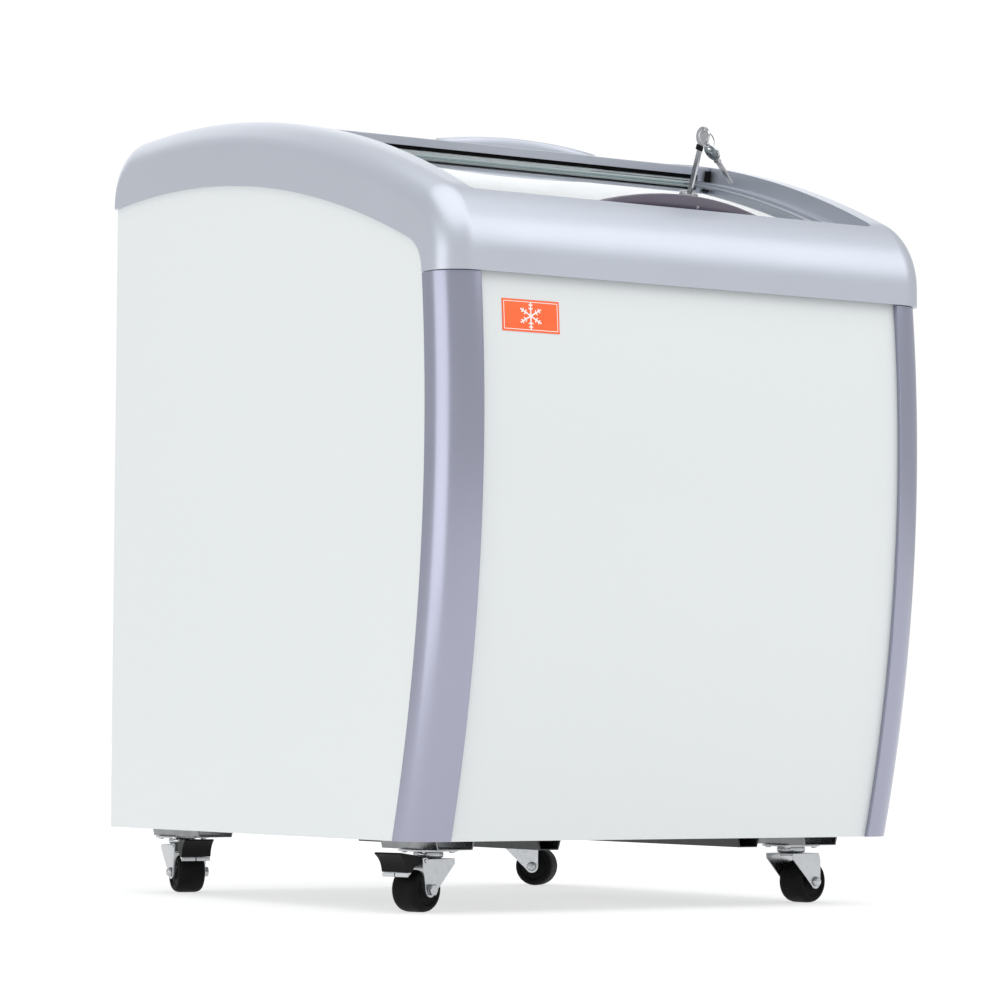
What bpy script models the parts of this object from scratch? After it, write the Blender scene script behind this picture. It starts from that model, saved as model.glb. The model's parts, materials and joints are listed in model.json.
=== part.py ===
"""Display chest freezer with two curved sliding glass lids, on four swivel casters.

Frame: metres, +Z up, the front faces -Y. The origin is on the floor, below the middle of the cabinet.
The lids slide along arcs in the side rails, so each one turns about the far centre of the top arch.
"""

import math

import bmesh
import bpy
from mathutils import Matrix, Vector

# ---------------------------------------------------------------- driving dimensions
WIDTH = 0.580  # over the plastic top frame
FRAME_BACK_Y = 0.3545
BACK_Y = 0.350  # outside of the sheet steel back
FRONT_Y = -0.350  # front of the top frame, at the seam above the front panel
CABINET_BOTTOM_Z = 0.070
SEAM_Z = 0.6115  # joint between the top frame and the corner pillars

# The front bows outward: a tall arc seen from the side.
BOW_RADIUS = 1.470
BOW_MIDDLE_Z = 0.470
BOW_FRONT_Y = -0.3545

# The top arch seen from the side, and the arch along the top of each side panel.
ARCH_Y = 0.250
ARCH_Z = -0.5165
ARCH_RADIUS = 1.338
SIDE_ARCH_Z = -0.6452
SIDE_ARCH_RADIUS = 1.3967

FRAME_FRONT_ROUND = 0.0785
FRAME_BACK_ROUND = 0.045
FRAME_EDGE_ROUND = 0.034
FRAME_BACK_EDGE = 0.004  # rounding of the frame's upright edges at the back
FRAME_WALL = 0.003
SIDE_CORNER_ROUND = 0.038  # front corner of the side panels, and of the frame's lower edge above it
RAIL_INNER_X = 0.2435  # inner wall of each side rail
OPENING_FRONT_DEG = 25.05  # angles along the arch, from straight up towards the front
OPENING_BACK_DEG = -2.36
UPPER_LEDGE_RADIUS = 1.3215
LOWER_LEDGE_RADIUS = 1.3080
LOWER_LEDGE_X = 0.2275
THROAT_X = 0.2150
THROAT_FRONT_Y = -0.2815
THROAT_BACK_Y = 0.2915

SHEET = 0.0012  # steel sheet
GAP = 0.0003  # gap between touching pieces
PILLAR_ROUND = 0.038
PILLAR_SIDE = 0.044  # how far the pillar reaches back along the side
PILLAR_INNER_X = 0.2496
PILLAR_WALL = 0.0025
SIDE_PANEL_X = 0.2868  # outside of the side panels
TUCK = 0.008  # how far sheets tuck under the plastic trim

LINER_X = 0.2200
LINER_WALL = 0.0015
LINER_FRONT_Y = -0.2865
LINER_BACK_Y = 0.2965
LINER_FLOOR_Z = 0.1335
LINER_STEP_Z = 0.3585
LINER_STEP_Y = 0.075
LINER_TOP_RADIUS = 1.2965
COIL_GAP = 0.0082  # room between liner and foam, where the evaporator tube lies

GLASS = 0.004
REAR_LID_TOP_RADIUS = 1.3370
REAR_LID_BOTTOM_RADIUS = 1.3220
REAR_LID_BACK_DEG = -2.2
REAR_LID_FRONT_DEG = 12.08
REAR_LID_X = 0.2420
FRONT_LID_TOP_RADIUS = 1.3185
FRONT_LID_BOTTOM_RADIUS = 1.3085
FRONT_LID_NOSE_RADIUS = 1.3305
LOCK_BOSS_RADIUS = 1.3290
LOCK_BOSS_HALF_X = 0.016
FRONT_LID_BACK_DEG = 10.9
FRONT_LID_FRONT_DEG = 24.85
FRONT_LID_NOSE_DEG = 24.05
FRONT_LID_GLASS_DEG = 22.9
FRONT_LID_X = 0.2260

HANDLE_HALF_LENGTH = 0.099
FRONT_HANDLE_HEIGHT = 0.0149
REAR_HANDLE_HEIGHT = 0.0080
FRONT_HANDLE_X = 0.011
HANDLE_THICKNESS = 0.007
FRONT_HANDLE_DEG = 24.42
REAR_HANDLE_DEG = 11.50

LOCK_X = 0.036
LOCK_DEG = 23.40
KEY_LENGTH = 0.0585
KEY_BOW_RADIUS = 0.0095
KEY_THICKNESS = 0.0022
KEY_DEPTH = 0.0210  # how deep the key's blade goes into the lock
KEY_TURN_DEG = 5.0  # turn of the keyway from front-to-back
KEY_HOLE_RADIUS = 0.0026
RING_RADIUS = 0.0095

LABEL_LEFT_X = -0.2251
LABEL_RIGHT_X = -0.1600
LABEL_LOW_Z = 0.5560
LABEL_HIGH_Z = 0.5872

CASTER_X = 0.220
CASTER_FRONT_Y = -0.208
CASTER_BACK_Y = 0.309
WHEEL_RADIUS = 0.022
WHEEL_WIDTH = 0.031
CASTER_TRAIL = 0.018
FORK_INSIDE = 0.0170
FORK_WALL = 0.0016
RAIL_BOTTOM_Z = 0.0605
BRAKE_PIVOT_X = 0.0260  # from the swivel axis, on the trailing side
BRAKE_PIVOT_Z = 0.0500

COMPRESSOR_XY = (-0.130, 0.235)
FAN_X = 0.120
FAN_YZ = (0.225, 0.180)

CASTERS = (  # name, side, y, direction of trail in degrees from +X, has a brake
    ("front_left", -1, CASTER_FRONT_Y, 199.0, True),
    ("front_right", 1, CASTER_FRONT_Y, 13.0, False),
    ("back_left", -1, CASTER_BACK_Y, 259.6, True),
    ("back_right", 1, CASTER_BACK_Y, 309.7, False),
)

COLOURS = {  # base colour, roughness, metallic
    "painted_steel": ((0.88, 0.89, 0.89), 0.30, 0.0),
    "silver_plastic": ((0.55, 0.57, 0.64), 0.38, 0.0),
    "dark_plastic": ((0.16, 0.14, 0.18), 0.40, 0.0),
    "black_plastic": ((0.02, 0.02, 0.022), 0.42, 0.0),
    "black_rubber": ((0.015, 0.015, 0.015), 0.75, 0.0),
    "glass": ((0.80, 0.88, 0.90), 0.05, 0.0),
    "liner_metal": ((0.80, 0.82, 0.84), 0.35, 0.8),
    "zinc": ((0.62, 0.65, 0.67), 0.30, 1.0),
    "chrome": ((0.75, 0.75, 0.76), 0.15, 1.0),
    "galvanised": ((0.50, 0.52, 0.54), 0.45, 0.9),
    "foam": ((0.85, 0.78, 0.55), 0.90, 0.0),
    "copper": ((0.70, 0.36, 0.22), 0.30, 1.0),
    "black_paint": ((0.02, 0.02, 0.02), 0.45, 0.0),
    "aluminium": ((0.70, 0.71, 0.72), 0.40, 1.0),
    "orange_film": ((0.85, 0.18, 0.06), 0.35, 0.0),
}


# ---------------------------------------------------------------- scene helpers
def clear_scene():
    for old in list(bpy.data.objects):
        bpy.data.objects.remove(old, do_unlink=True)


def new_collection(name):
    collection = bpy.data.collections.new(name)
    bpy.context.scene.collection.children.link(collection)
    return collection


def material(kind, name):
    colour, roughness, metallic = COLOURS[kind]
    made = bpy.data.materials.new(name)
    made.use_nodes = True
    shader = made.node_tree.nodes["Principled BSDF"]
    shader.inputs["Base Color"].default_value = (*colour, 1.0)
    shader.inputs["Roughness"].default_value = roughness
    shader.inputs["Metallic"].default_value = metallic
    return made


clear_scene()
PARTS = new_collection("chest_freezer")
CUTTERS = new_collection("cutters")


def add_mesh(name, bm, matrix=None):
    """Makes an object from a bmesh, with its faces pointing out."""
    bmesh.ops.recalc_face_normals(bm, faces=bm.faces)
    mesh = bpy.data.meshes.new(name)
    bm.to_mesh(mesh)
    bm.free()
    obj = bpy.data.objects.new(name, mesh)
    if matrix is not None:
        obj.matrix_world = matrix
    return obj


def as_part(obj, kind, smooth=True, parent=None):
    PARTS.objects.link(obj)
    obj.data.materials.clear()
    obj.data.materials.append(material(kind, obj.name))
    if smooth:
        obj.data.shade_smooth()
        obj.data.set_sharp_from_angle(angle=math.radians(32))
    if parent is not None:
        obj.parent = parent
        obj.matrix_parent_inverse = parent.matrix_world.inverted()
    return obj


def as_cutter(obj):
    CUTTERS.objects.link(obj)
    obj.hide_render = True
    obj.display_type = "WIRE"
    return obj


def boolean(obj, other, operation="DIFFERENCE"):
    cut = obj.modifiers.new(operation.lower(), "BOOLEAN")
    cut.operation = operation
    cut.solver = "EXACT"
    cut.object = other
    return obj


def bevel(obj, width, segments=2, angle=30):
    edge = obj.modifiers.new("bevel", "BEVEL")
    edge.width = width
    edge.segments = segments
    edge.limit_method = "ANGLE"
    edge.angle_limit = math.radians(angle)
    return edge


def pivot(name, place):
    empty = bpy.data.objects.new(name, None)
    empty.location = place
    PARTS.objects.link(empty)
    bpy.context.view_layer.update()
    return empty


# ---------------------------------------------------------------- shape helpers
PLANES = {  # local x, y and extrusion axis of a flat outline
    "YZ": Matrix(((0, 0, 1, 0), (1, 0, 0, 0), (0, 1, 0, 0), (0, 0, 0, 1))),
    "XZ": Matrix(((1, 0, 0, 0), (0, 0, -1, 0), (0, 1, 0, 0), (0, 0, 0, 1))),
    "XY": Matrix.Identity(4),
}


def curve_to_mesh(curve_object, name):
    """The evaluated curve as a mesh object with its loose caps welded on."""
    graph = bpy.context.evaluated_depsgraph_get()
    mesh = bpy.data.meshes.new_from_object(curve_object.evaluated_get(graph))
    bm = bmesh.new()
    bm.from_mesh(mesh)
    bmesh.ops.remove_doubles(bm, verts=bm.verts, dist=0.00002)
    bpy.data.meshes.remove(mesh)
    place = curve_object.matrix_world.copy()
    data = curve_object.data
    bpy.data.objects.remove(curve_object)
    bpy.data.curves.remove(data)
    return add_mesh(name, bm, place)


def prism(name, outlines, plane, low, high, place=None):
    """A flat outline (or an outline and its holes) extruded from low to high across its plane."""
    if not isinstance(outlines[0][0], (tuple, list, Vector)):
        outlines = [outlines]
    curve = bpy.data.curves.new(name + "_outline", "CURVE")
    curve.dimensions = "2D"
    curve.fill_mode = "BOTH"
    curve.extrude = (high - low) / 2
    for outline in outlines:
        spline = curve.splines.new("POLY")
        spline.points.add(len(outline) - 1)
        for point, (x, y) in zip(spline.points, outline):
            point.co = (x, y, 0, 1)
        spline.use_cyclic_u = True
    obj = bpy.data.objects.new(name + "_outline", curve)
    CUTTERS.objects.link(obj)
    turn = PLANES[plane]
    middle = turn @ Matrix.Translation((0, 0, (low + high) / 2))
    obj.matrix_world = (place or Matrix.Identity(4)) @ middle
    bpy.context.view_layer.update()
    return curve_to_mesh(obj, name)


def across(low, high):
    """A prism's extrusion runs along -Y in the XZ plane, so its limits change sign and order."""
    return -high, -low


def box(name, low, high, place=None):
    bm = bmesh.new()
    bmesh.ops.create_cube(bm, size=1.0)
    size = [b - a for a, b in zip(low, high)]
    centre = [(a + b) / 2 for a, b in zip(low, high)]
    bmesh.ops.scale(bm, vec=size, verts=bm.verts)
    bmesh.ops.translate(bm, vec=centre, verts=bm.verts)
    return add_mesh(name, bm, place)


def rod(name, radius, start, end, segments=16):
    """A round bar from start to end."""
    start = Vector(start)
    end = Vector(end)
    bm = bmesh.new()
    length = (end - start).length
    bmesh.ops.create_cone(
        bm, cap_ends=True, segments=segments, radius1=radius, radius2=radius, depth=length
    )
    turn = (end - start).to_track_quat("Z", "Y").to_matrix().to_4x4()
    return add_mesh(name, bm, Matrix.Translation((start + end) / 2) @ turn)


def turned(name, profile, place, segments=20):
    """A profile of (radius, height) points, listed from the top down, turned about Z.

    A profile that ends where it starts makes a ring with a bore.
    """
    closed = profile[0] == profile[-1]
    points = profile[:-1] if closed else profile
    edges = [(i, i + 1) for i in range(len(points) - 1)]
    if closed:
        edges.append((len(points) - 1, 0))
    mesh = bpy.data.meshes.new(name)
    mesh.from_pydata([(r, 0, z) for r, z in points], edges, [])
    obj = bpy.data.objects.new(name, mesh)
    obj.matrix_world = place
    screw = obj.modifiers.new("turn", "SCREW")
    screw.steps = segments
    screw.render_steps = segments
    screw.use_merge_vertices = True
    screw.merge_threshold = 0.00005
    screw.use_smooth_shade = True
    return obj


def tube(name, points, radius, cyclic=False):
    """A round tube through the points, with filled ends."""
    curve = bpy.data.curves.new(name, "CURVE")
    curve.dimensions = "3D"
    curve.bevel_depth = radius
    curve.bevel_resolution = 2
    curve.use_fill_caps = not cyclic
    spline = curve.splines.new("POLY")
    spline.points.add(len(points) - 1)
    for point, place in zip(spline.points, points):
        point.co = (*place, 1)
    spline.use_cyclic_u = cyclic
    obj = bpy.data.objects.new(name + "_path", curve)
    CUTTERS.objects.link(obj)
    bpy.context.view_layer.update()
    return curve_to_mesh(obj, name)


def arc(centre, radius, start_deg, end_deg, steps):
    """Points along an arc in a plane, both ends included."""
    angles = [math.radians(start_deg + (end_deg - start_deg) * i / steps) for i in range(steps + 1)]
    return [(centre[0] + radius * math.cos(a), centre[1] + radius * math.sin(a)) for a in angles]


def arch_point(radius, degrees):
    """(y, z) on the top arch's circle family, at an angle from straight up towards the front."""
    a = math.radians(degrees)
    return ARCH_Y - radius * math.sin(a), ARCH_Z + radius * math.cos(a)


def arch_arc(radius, back_deg, front_deg, steps):
    return [arch_point(radius, back_deg + (front_deg - back_deg) * i / steps) for i in range(steps + 1)]


def arch_slab(name, inner, outer, back_deg, front_deg, half_x, steps=16):
    """A curved slab of the top arch, centred on the middle of the cabinet."""
    outline = arch_arc(outer, back_deg, front_deg, steps)
    outline += reversed(arch_arc(inner, back_deg, front_deg, steps))
    return prism(name, outline, "YZ", -half_x, half_x)


def arch_frame(degrees, x=0.0, radius=0.0):
    """A placement whose Z points out of the arch and whose X is the world's X."""
    y, z = arch_point(radius, degrees)
    return Matrix.Translation((x, y, z)) @ Matrix.Rotation(math.radians(degrees), 4, "X")


def front_y(z):
    """Where the bowed front of the pillars is at a height."""
    return BOW_FRONT_Y + BOW_RADIUS - math.sqrt(BOW_RADIUS**2 - (z - BOW_MIDDLE_Z) ** 2)


def side_arch_z(y, lift=0.0):
    return SIDE_ARCH_Z + math.sqrt((SIDE_ARCH_RADIUS + lift) ** 2 - (y - ARCH_Y) ** 2)


def bow(obj, low, high, steps=10):
    """Bends the front of an upright prism to the bowed front. Its y is the depth behind that front."""
    bm = bmesh.new()
    bm.from_mesh(obj.data)
    bm.transform(obj.matrix_world)
    obj.matrix_world = Matrix.Identity(4)
    for i in range(1, steps):
        z = low + (high - low) * i / steps
        geometry = bm.verts[:] + bm.edges[:] + bm.faces[:]
        bmesh.ops.bisect_plane(bm, geom=geometry, plane_co=(0, 0, z), plane_no=(0, 0, 1))
    for vertex in bm.verts:
        if vertex.co.y < 0.1:
            vertex.co.y += front_y(vertex.co.z)
    bmesh.ops.triangulate(bm, faces=[f for f in bm.faces if len(f.verts) > 4])
    bmesh.ops.recalc_face_normals(bm, faces=bm.faces)
    bm.to_mesh(obj.data)
    bm.free()
    return obj


def mirrored(points):
    """The same outline on the other side of x = 0."""
    return [(-x, y) for x, y in reversed(points)]


# ---------------------------------------------------------------- top frame
def top_outline(inset, drop):
    """Side outline of the top frame, moved in by inset, with its lower edge lowered by drop."""
    arch = ARCH_RADIUS - inset
    back_centre_y = FRAME_BACK_Y - FRAME_BACK_ROUND
    reach = ARCH_RADIUS - FRAME_BACK_ROUND
    back_centre_z = ARCH_Z + math.sqrt(reach**2 - (back_centre_y - ARCH_Y) ** 2)
    back_deg = math.degrees(math.asin((back_centre_y - ARCH_Y) / reach))
    front_centre_y = FRONT_Y + FRAME_FRONT_ROUND
    reach = ARCH_RADIUS - FRAME_FRONT_ROUND
    front_centre_z = ARCH_Z + math.sqrt(reach**2 - (front_centre_y - ARCH_Y) ** 2)
    front_deg = math.degrees(math.asin((ARCH_Y - front_centre_y) / reach))
    back_bottom = side_arch_z(FRAME_BACK_Y) - drop

    points = [(FRAME_BACK_Y - inset, back_bottom)]
    points += arc((back_centre_y, back_centre_z), FRAME_BACK_ROUND - inset, 0, 90 - back_deg, 5)
    points += arch_arc(arch, -back_deg, front_deg, 22)[1:]
    points += arc((front_centre_y, front_centre_z), FRAME_FRONT_ROUND - inset, 90 + front_deg, 180, 8)[1:]
    points.append((FRONT_Y + inset, SEAM_Z - drop))
    side_edge = front_y(SEAM_Z) + PILLAR_SIDE
    points.append((side_edge, SEAM_Z - drop))
    corner_centre = (side_edge + SIDE_CORNER_ROUND, SEAM_Z + 0.0003)
    points += [(y, z - drop) for y, z in arc(corner_centre, SIDE_CORNER_ROUND, 179, 112, 5)]
    steps = 16
    first = points[-1][0]
    for i in range(1, steps):
        y = first + (FRAME_BACK_Y - first) * i / steps
        points.append((y, side_arch_z(y) - drop))
    return points


def rounding_width(middle):
    """How far an edge of the frame's side faces is rounded. The upright edges at the back stay crisp."""
    back_centre_y = FRAME_BACK_Y - FRAME_BACK_ROUND
    if middle.y < back_centre_y:
        return FRAME_EDGE_ROUND
    reach = math.sqrt((ARCH_RADIUS - FRAME_BACK_ROUND) ** 2 - (back_centre_y - ARCH_Y) ** 2)
    up = (middle.z - ARCH_Z - reach) / FRAME_BACK_ROUND
    return FRAME_BACK_EDGE + (FRAME_EDGE_ROUND - FRAME_BACK_EDGE) * min(max(up, 0.0), 1.0)


def frame_block(name, inset, drop):
    """The solid outside of the top frame, or with an inset the hollow under it."""
    half_x = WIDTH / 2 - inset
    block = prism(name, top_outline(inset, drop), "YZ", -half_x, half_x)
    bm = bmesh.new()
    bm.from_mesh(block.data)
    bm.transform(block.matrix_world)
    block.matrix_world = Matrix.Identity(4)
    for side in (-half_x, half_x):
        flat = [f for f in bm.faces if all(abs(v.co.x - side) < 1e-5 for v in f.verts)]
        bmesh.ops.dissolve_faces(bm, faces=flat)
    weights = bm.edges.layers.float.new("bevel_weight_edge")
    for edge in bm.edges:
        a, b = (v.co for v in edge.verts)
        on_side = abs(abs(a.x) - half_x) < 1e-5 and abs(a.x - b.x) < 1e-5
        lowest = all(p.z < side_arch_z(p.y) - drop + 2e-4 for p in (a, b))
        if on_side and not lowest:
            width = rounding_width((a + b) / 2) - inset
            edge[weights] = width / (FRAME_EDGE_ROUND - inset)
    bm.to_mesh(block.data)
    bm.free()
    CUTTERS.objects.link(block)
    rounding = bevel(block, FRAME_EDGE_ROUND - inset, 5)
    rounding.limit_method = "WEIGHT"
    bpy.context.view_layer.update()
    graph = bpy.context.evaluated_depsgraph_get()
    rounded = bpy.data.meshes.new_from_object(block.evaluated_get(graph))
    bpy.data.objects.remove(block)
    return bpy.data.objects.new(name, rounded)


def make_top_frame():
    wall_deg = math.degrees(FRAME_WALL / ARCH_RADIUS)
    core = as_cutter(
        arch_slab(
            "frame_core",
            LOWER_LEDGE_RADIUS - FRAME_WALL,
            ARCH_RADIUS + 0.02,
            OPENING_BACK_DEG - wall_deg,
            OPENING_FRONT_DEG + wall_deg,
            RAIL_INNER_X + FRAME_WALL,
            18,
        )
    )
    skirt = box(
        "frame_skirt",
        (-THROAT_X - FRAME_WALL, THROAT_FRONT_Y - FRAME_WALL, 0.55),
        (THROAT_X + FRAME_WALL, THROAT_BACK_Y + FRAME_WALL, 0.90),
    )
    as_cutter(skirt)
    skirt_depth = as_cutter(arch_slab("frame_skirt_depth", 1.289, 1.40, -8, 30, 0.235, 18))
    boolean(skirt, skirt_depth, "INTERSECT")
    hollow = as_cutter(frame_block("frame_hollow", FRAME_WALL, 0.03))
    boolean(hollow, core)
    boolean(hollow, skirt)

    upper = arch_slab(
        "upper_track", UPPER_LEDGE_RADIUS, 1.40, OPENING_BACK_DEG, OPENING_FRONT_DEG, RAIL_INNER_X, 18
    )
    step = 0.04  # the lower track is cut a little short, so the two cuts share no face
    lower = arch_slab(
        "lower_track",
        LOWER_LEDGE_RADIUS,
        1.40,
        OPENING_BACK_DEG + step,
        OPENING_FRONT_DEG - step,
        LOWER_LEDGE_X,
        18,
    )
    throat = box("throat", (-THROAT_X, THROAT_FRONT_Y, 0.50), (THROAT_X, THROAT_BACK_Y, 0.95))
    slot_y, slot_z = arch_point(1.3006, LOCK_DEG)
    slot_low = (LOCK_X - 0.009, slot_y - 0.0215, slot_z - 0.0120)
    slot = box("lock_slot", slot_low, (LOCK_X + 0.027, slot_y, slot_z))

    frame = frame_block("top_frame", 0.0, 0.0)
    as_part(frame, "silver_plastic")
    for cutter in (hollow, upper, lower, throat, slot):
        if cutter is not hollow:
            as_cutter(cutter)
        boolean(frame, cutter)
    return frame


# ---------------------------------------------------------------- cabinet shell
def side_outline():
    """Side outline of a side panel, with its upper and front edges tucked under the trim."""
    steps = 10
    setback = PILLAR_SIDE - TUCK
    top_z = SEAM_Z + 0.004
    points = []
    for i in range(steps + 1):
        z = CABINET_BOTTOM_Z + (top_z - CABINET_BOTTOM_Z) * i / steps
        points.append((front_y(z) + setback, z))
    edge = points[-1][0]
    points += arc((edge + SIDE_CORNER_ROUND, top_z + 0.001), SIDE_CORNER_ROUND, 178, 112, 5)
    first = points[-1][0]
    for i in range(1, 15):
        y = first + (BACK_Y - first) * i / 14
        points.append((y, side_arch_z(y, TUCK)))
    points.append((BACK_Y, CABINET_BOTTOM_Z))
    return points


def make_side_panels():
    for name, low, high in (
        ("side_panel_left", -SIDE_PANEL_X, -SIDE_PANEL_X + SHEET),
        ("side_panel_right", SIDE_PANEL_X - SHEET, SIDE_PANEL_X),
    ):
        as_part(prism(name, side_outline(), "YZ", low, high), "painted_steel")


def pillar_section():
    """Plan of the right pillar: x, and the depth behind the bowed front."""
    half = WIDTH / 2
    centre = (half - PILLAR_ROUND, PILLAR_ROUND)
    inner = PILLAR_ROUND - PILLAR_WALL
    lip = 0.0055
    points = [(PILLAR_INNER_X, lip), (PILLAR_INNER_X, 0.0)]
    points += arc(centre, PILLAR_ROUND, 270, 360, 8)
    points += [(half, PILLAR_SIDE), (half - PILLAR_WALL, PILLAR_SIDE)]
    points += arc(centre, inner, 360, 270, 8)
    points.append((PILLAR_INNER_X + PILLAR_WALL, PILLAR_WALL))
    points.append((PILLAR_INNER_X + PILLAR_WALL, lip))
    return points


def make_pillars():
    top = SEAM_Z - 0.0006
    for name, section in (
        ("corner_pillar_right", pillar_section()),
        ("corner_pillar_left", mirrored(pillar_section())),
    ):
        pillar = prism(name, section, "XY", CABINET_BOTTOM_Z, top)
        as_part(bow(pillar, CABINET_BOTTOM_Z, top), "silver_plastic")


def make_front_panel():
    recess = 0.0060
    half = PILLAR_INNER_X + 0.004
    section = [(-half, recess), (half, recess), (half, recess + SHEET), (-half, recess + SHEET)]
    top = SEAM_Z + 0.012
    panel = prism("front_panel", section, "XY", CABINET_BOTTOM_Z, top)
    as_part(bow(panel, CABINET_BOTTOM_Z, top, 12), "painted_steel")


def make_label():
    front = 0.0055
    left = LABEL_LEFT_X
    right = LABEL_RIGHT_X
    section = [(left, front), (right, front), (right, front + 0.0003), (left, front + 0.0003)]
    label = prism("front_label", section, "XY", LABEL_LOW_Z, LABEL_HIGH_Z)
    as_part(bow(label, LABEL_LOW_Z, LABEL_HIGH_Z, 3), "orange_film")


def make_back():
    half = SIDE_PANEL_X - SHEET - GAP
    top = side_arch_z(FRAME_BACK_Y) + TUCK
    outline = [(-half, 0.3125), (half, 0.3125), (half, top), (-half, top)]
    as_part(prism("back_panel", outline, "XZ", *across(BACK_Y - SHEET, BACK_Y)), "painted_steel")

    low = CABINET_BOTTOM_Z + 0.008
    high = 0.3118
    outlines = [[(-half, low), (half, low), (half, high), (-half, high)]]
    for side in (-1, 1):
        for row in range(9):
            z = 0.112 + 0.018 * row
            x = side * 0.150
            outlines.append([(x - 0.095, z), (x + 0.095, z), (x + 0.095, z + 0.006), (x - 0.095, z + 0.006)])
    outlines.append(arc((-0.264, 0.0980), 0.0085, 0, 337.5, 15))
    outlines.append(arc((0.0, 0.150), 0.0045, 0, 330, 11))
    grille = prism("rear_grille", outlines, "XZ", *across(0.3400, 0.3400 + SHEET))
    as_part(grille, "galvanised", smooth=False)


def floor_outline(margin, back):
    """Plan of a floor sheet: x, and the depth behind the bowed front, with round front corners."""
    half = SIDE_PANEL_X - SHEET - GAP
    corner = 0.034
    points = arc((-half + corner, margin + corner), corner, 180, 270, 5)
    points += arc((half - corner, margin + corner), corner, 270, 360, 5)
    return points + [(half, back), (-half, back)]


def make_base_pan():
    pan = prism("base_pan", floor_outline(0.009, 0.3380), "XY", 0.0745, 0.0757)
    as_part(bow(pan, 0.0745, 0.0757, 1), "galvanised")


def liner_outline(grow, top_grow=0.0):
    """Side outline of the liner, grown outward by grow, running up past the top arch."""
    front = LINER_FRONT_Y - grow
    back = LINER_BACK_Y + grow
    floor = LINER_FLOOR_Z - grow
    top = 0.90
    return [
        (front, top),
        (front, 0.300),
        (front + 0.023, floor),
        (LINER_STEP_Y + grow, floor),
        (LINER_STEP_Y + grow, LINER_STEP_Z - grow),
        (back, LINER_STEP_Z - grow),
        (back, top + top_grow),
    ]


def make_liner():
    liner = prism("inner_liner", liner_outline(0.0), "YZ", -LINER_X, LINER_X)
    as_part(liner, "liner_metal", smooth=False)
    inside = LINER_X - LINER_WALL
    hollow = as_cutter(prism("liner_hollow", liner_outline(-LINER_WALL), "YZ", -inside, inside))
    hollow_top = arch_slab("liner_top", LINER_TOP_RADIUS, 1.60, -14, 30, 0.30, 20)
    boolean(liner, as_cutter(hollow_top))
    boolean(liner, hollow)


def make_foam():
    foam = prism("foam_insulation", floor_outline(0.0085, 0.3482), "XY", 0.0765, 0.90)
    bm = bmesh.new()
    bm.from_mesh(foam.data)
    for vertex in bm.verts:
        vertex.co.z += foam.matrix_world.translation.z
    bm.to_mesh(foam.data)
    bm.free()
    foam.matrix_world = Matrix.Identity(4)
    as_part(bow(foam, 0.0765, 0.90, 12), "foam", smooth=False)
    compartment = box("compressor_room", (-0.4, 0.1150, 0.0), (0.4, 0.50, 0.3150))
    top = arch_slab("foam_top", 1.2875, 1.60, -14, 32, 0.40, 20)
    pocket_x = LINER_X + COIL_GAP
    pocket = prism("liner_pocket", liner_outline(0.0004), "YZ", -LINER_X - GAP, LINER_X + GAP)
    coil_room = box(
        "coil_room",
        (-pocket_x, LINER_FRONT_Y - COIL_GAP, LINER_STEP_Z + 0.006),
        (pocket_x, LINER_BACK_Y + COIL_GAP, 0.90),
    )
    for cutter in (compartment, top, pocket, coil_room):
        boolean(foam, as_cutter(cutter))


def make_evaporator():
    """A tube wound round the liner, behind its walls."""
    x = LINER_X + 0.0044
    front = LINER_FRONT_Y - 0.0044
    back = LINER_BACK_Y + 0.0044
    round_corner = 0.0055
    turns = 5
    pitch = 0.042
    centres = (
        (x - round_corner, front + round_corner, 270),
        (x - round_corner, back - round_corner, 0),
        (-x + round_corner, back - round_corner, 90),
        (-x + round_corner, front + round_corner, 180),
    )
    points = []
    z = LINER_STEP_Z + 0.012
    for _ in range(turns):
        for centre_x, centre_y, start in centres:
            for px, py in arc((centre_x, centre_y), round_corner, start, start + 90, 3):
                points.append((px, py, z))
            z += pitch / 4
    as_part(tube("evaporator_tube", points, 0.0035), "copper")


# ---------------------------------------------------------------- underside
def hat_outline(middle, foot, crown, top, bottom):
    """A hat channel, open at the top, with flanges: its crown hangs below."""
    t = SHEET
    half_foot = foot / 2
    half_crown = crown / 2
    flange = 0.008
    left = [
        (middle - half_foot - flange, top),
        (middle - half_foot - flange, top - t),
        (middle - half_foot, top - t),
        (middle - half_crown, bottom),
    ]
    right = [(2 * middle - a, b) for a, b in reversed(left)]
    inner = [
        (middle + half_foot - 2 * t, top),
        (middle + half_crown - t, bottom + t),
        (middle - half_crown + t, bottom + t),
        (middle - half_foot + 2 * t, top),
    ]
    return left + right + inner


def make_chassis():
    """Short hat channels that carry the casters, and two skids below the floor."""
    for name, side, y, heading, braked in CASTERS:
        outline = hat_outline(side * CASTER_X, 0.046, 0.040, 0.0742, RAIL_BOTTOM_Z)
        back = min(y + 0.055, 0.3375)
        bracket = prism(name + "_bracket", outline, "XZ", *across(back - 0.105, back))
        as_part(bracket, "zinc", smooth=False)
    for name, side in (("skid_left", -1), ("skid_right", 1)):
        outline = hat_outline(side * 0.120, 0.030, 0.022, 0.0742, 0.0600)
        as_part(prism(name, outline, "XZ", *across(-0.270, 0.080)), "black_paint", smooth=False)


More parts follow.
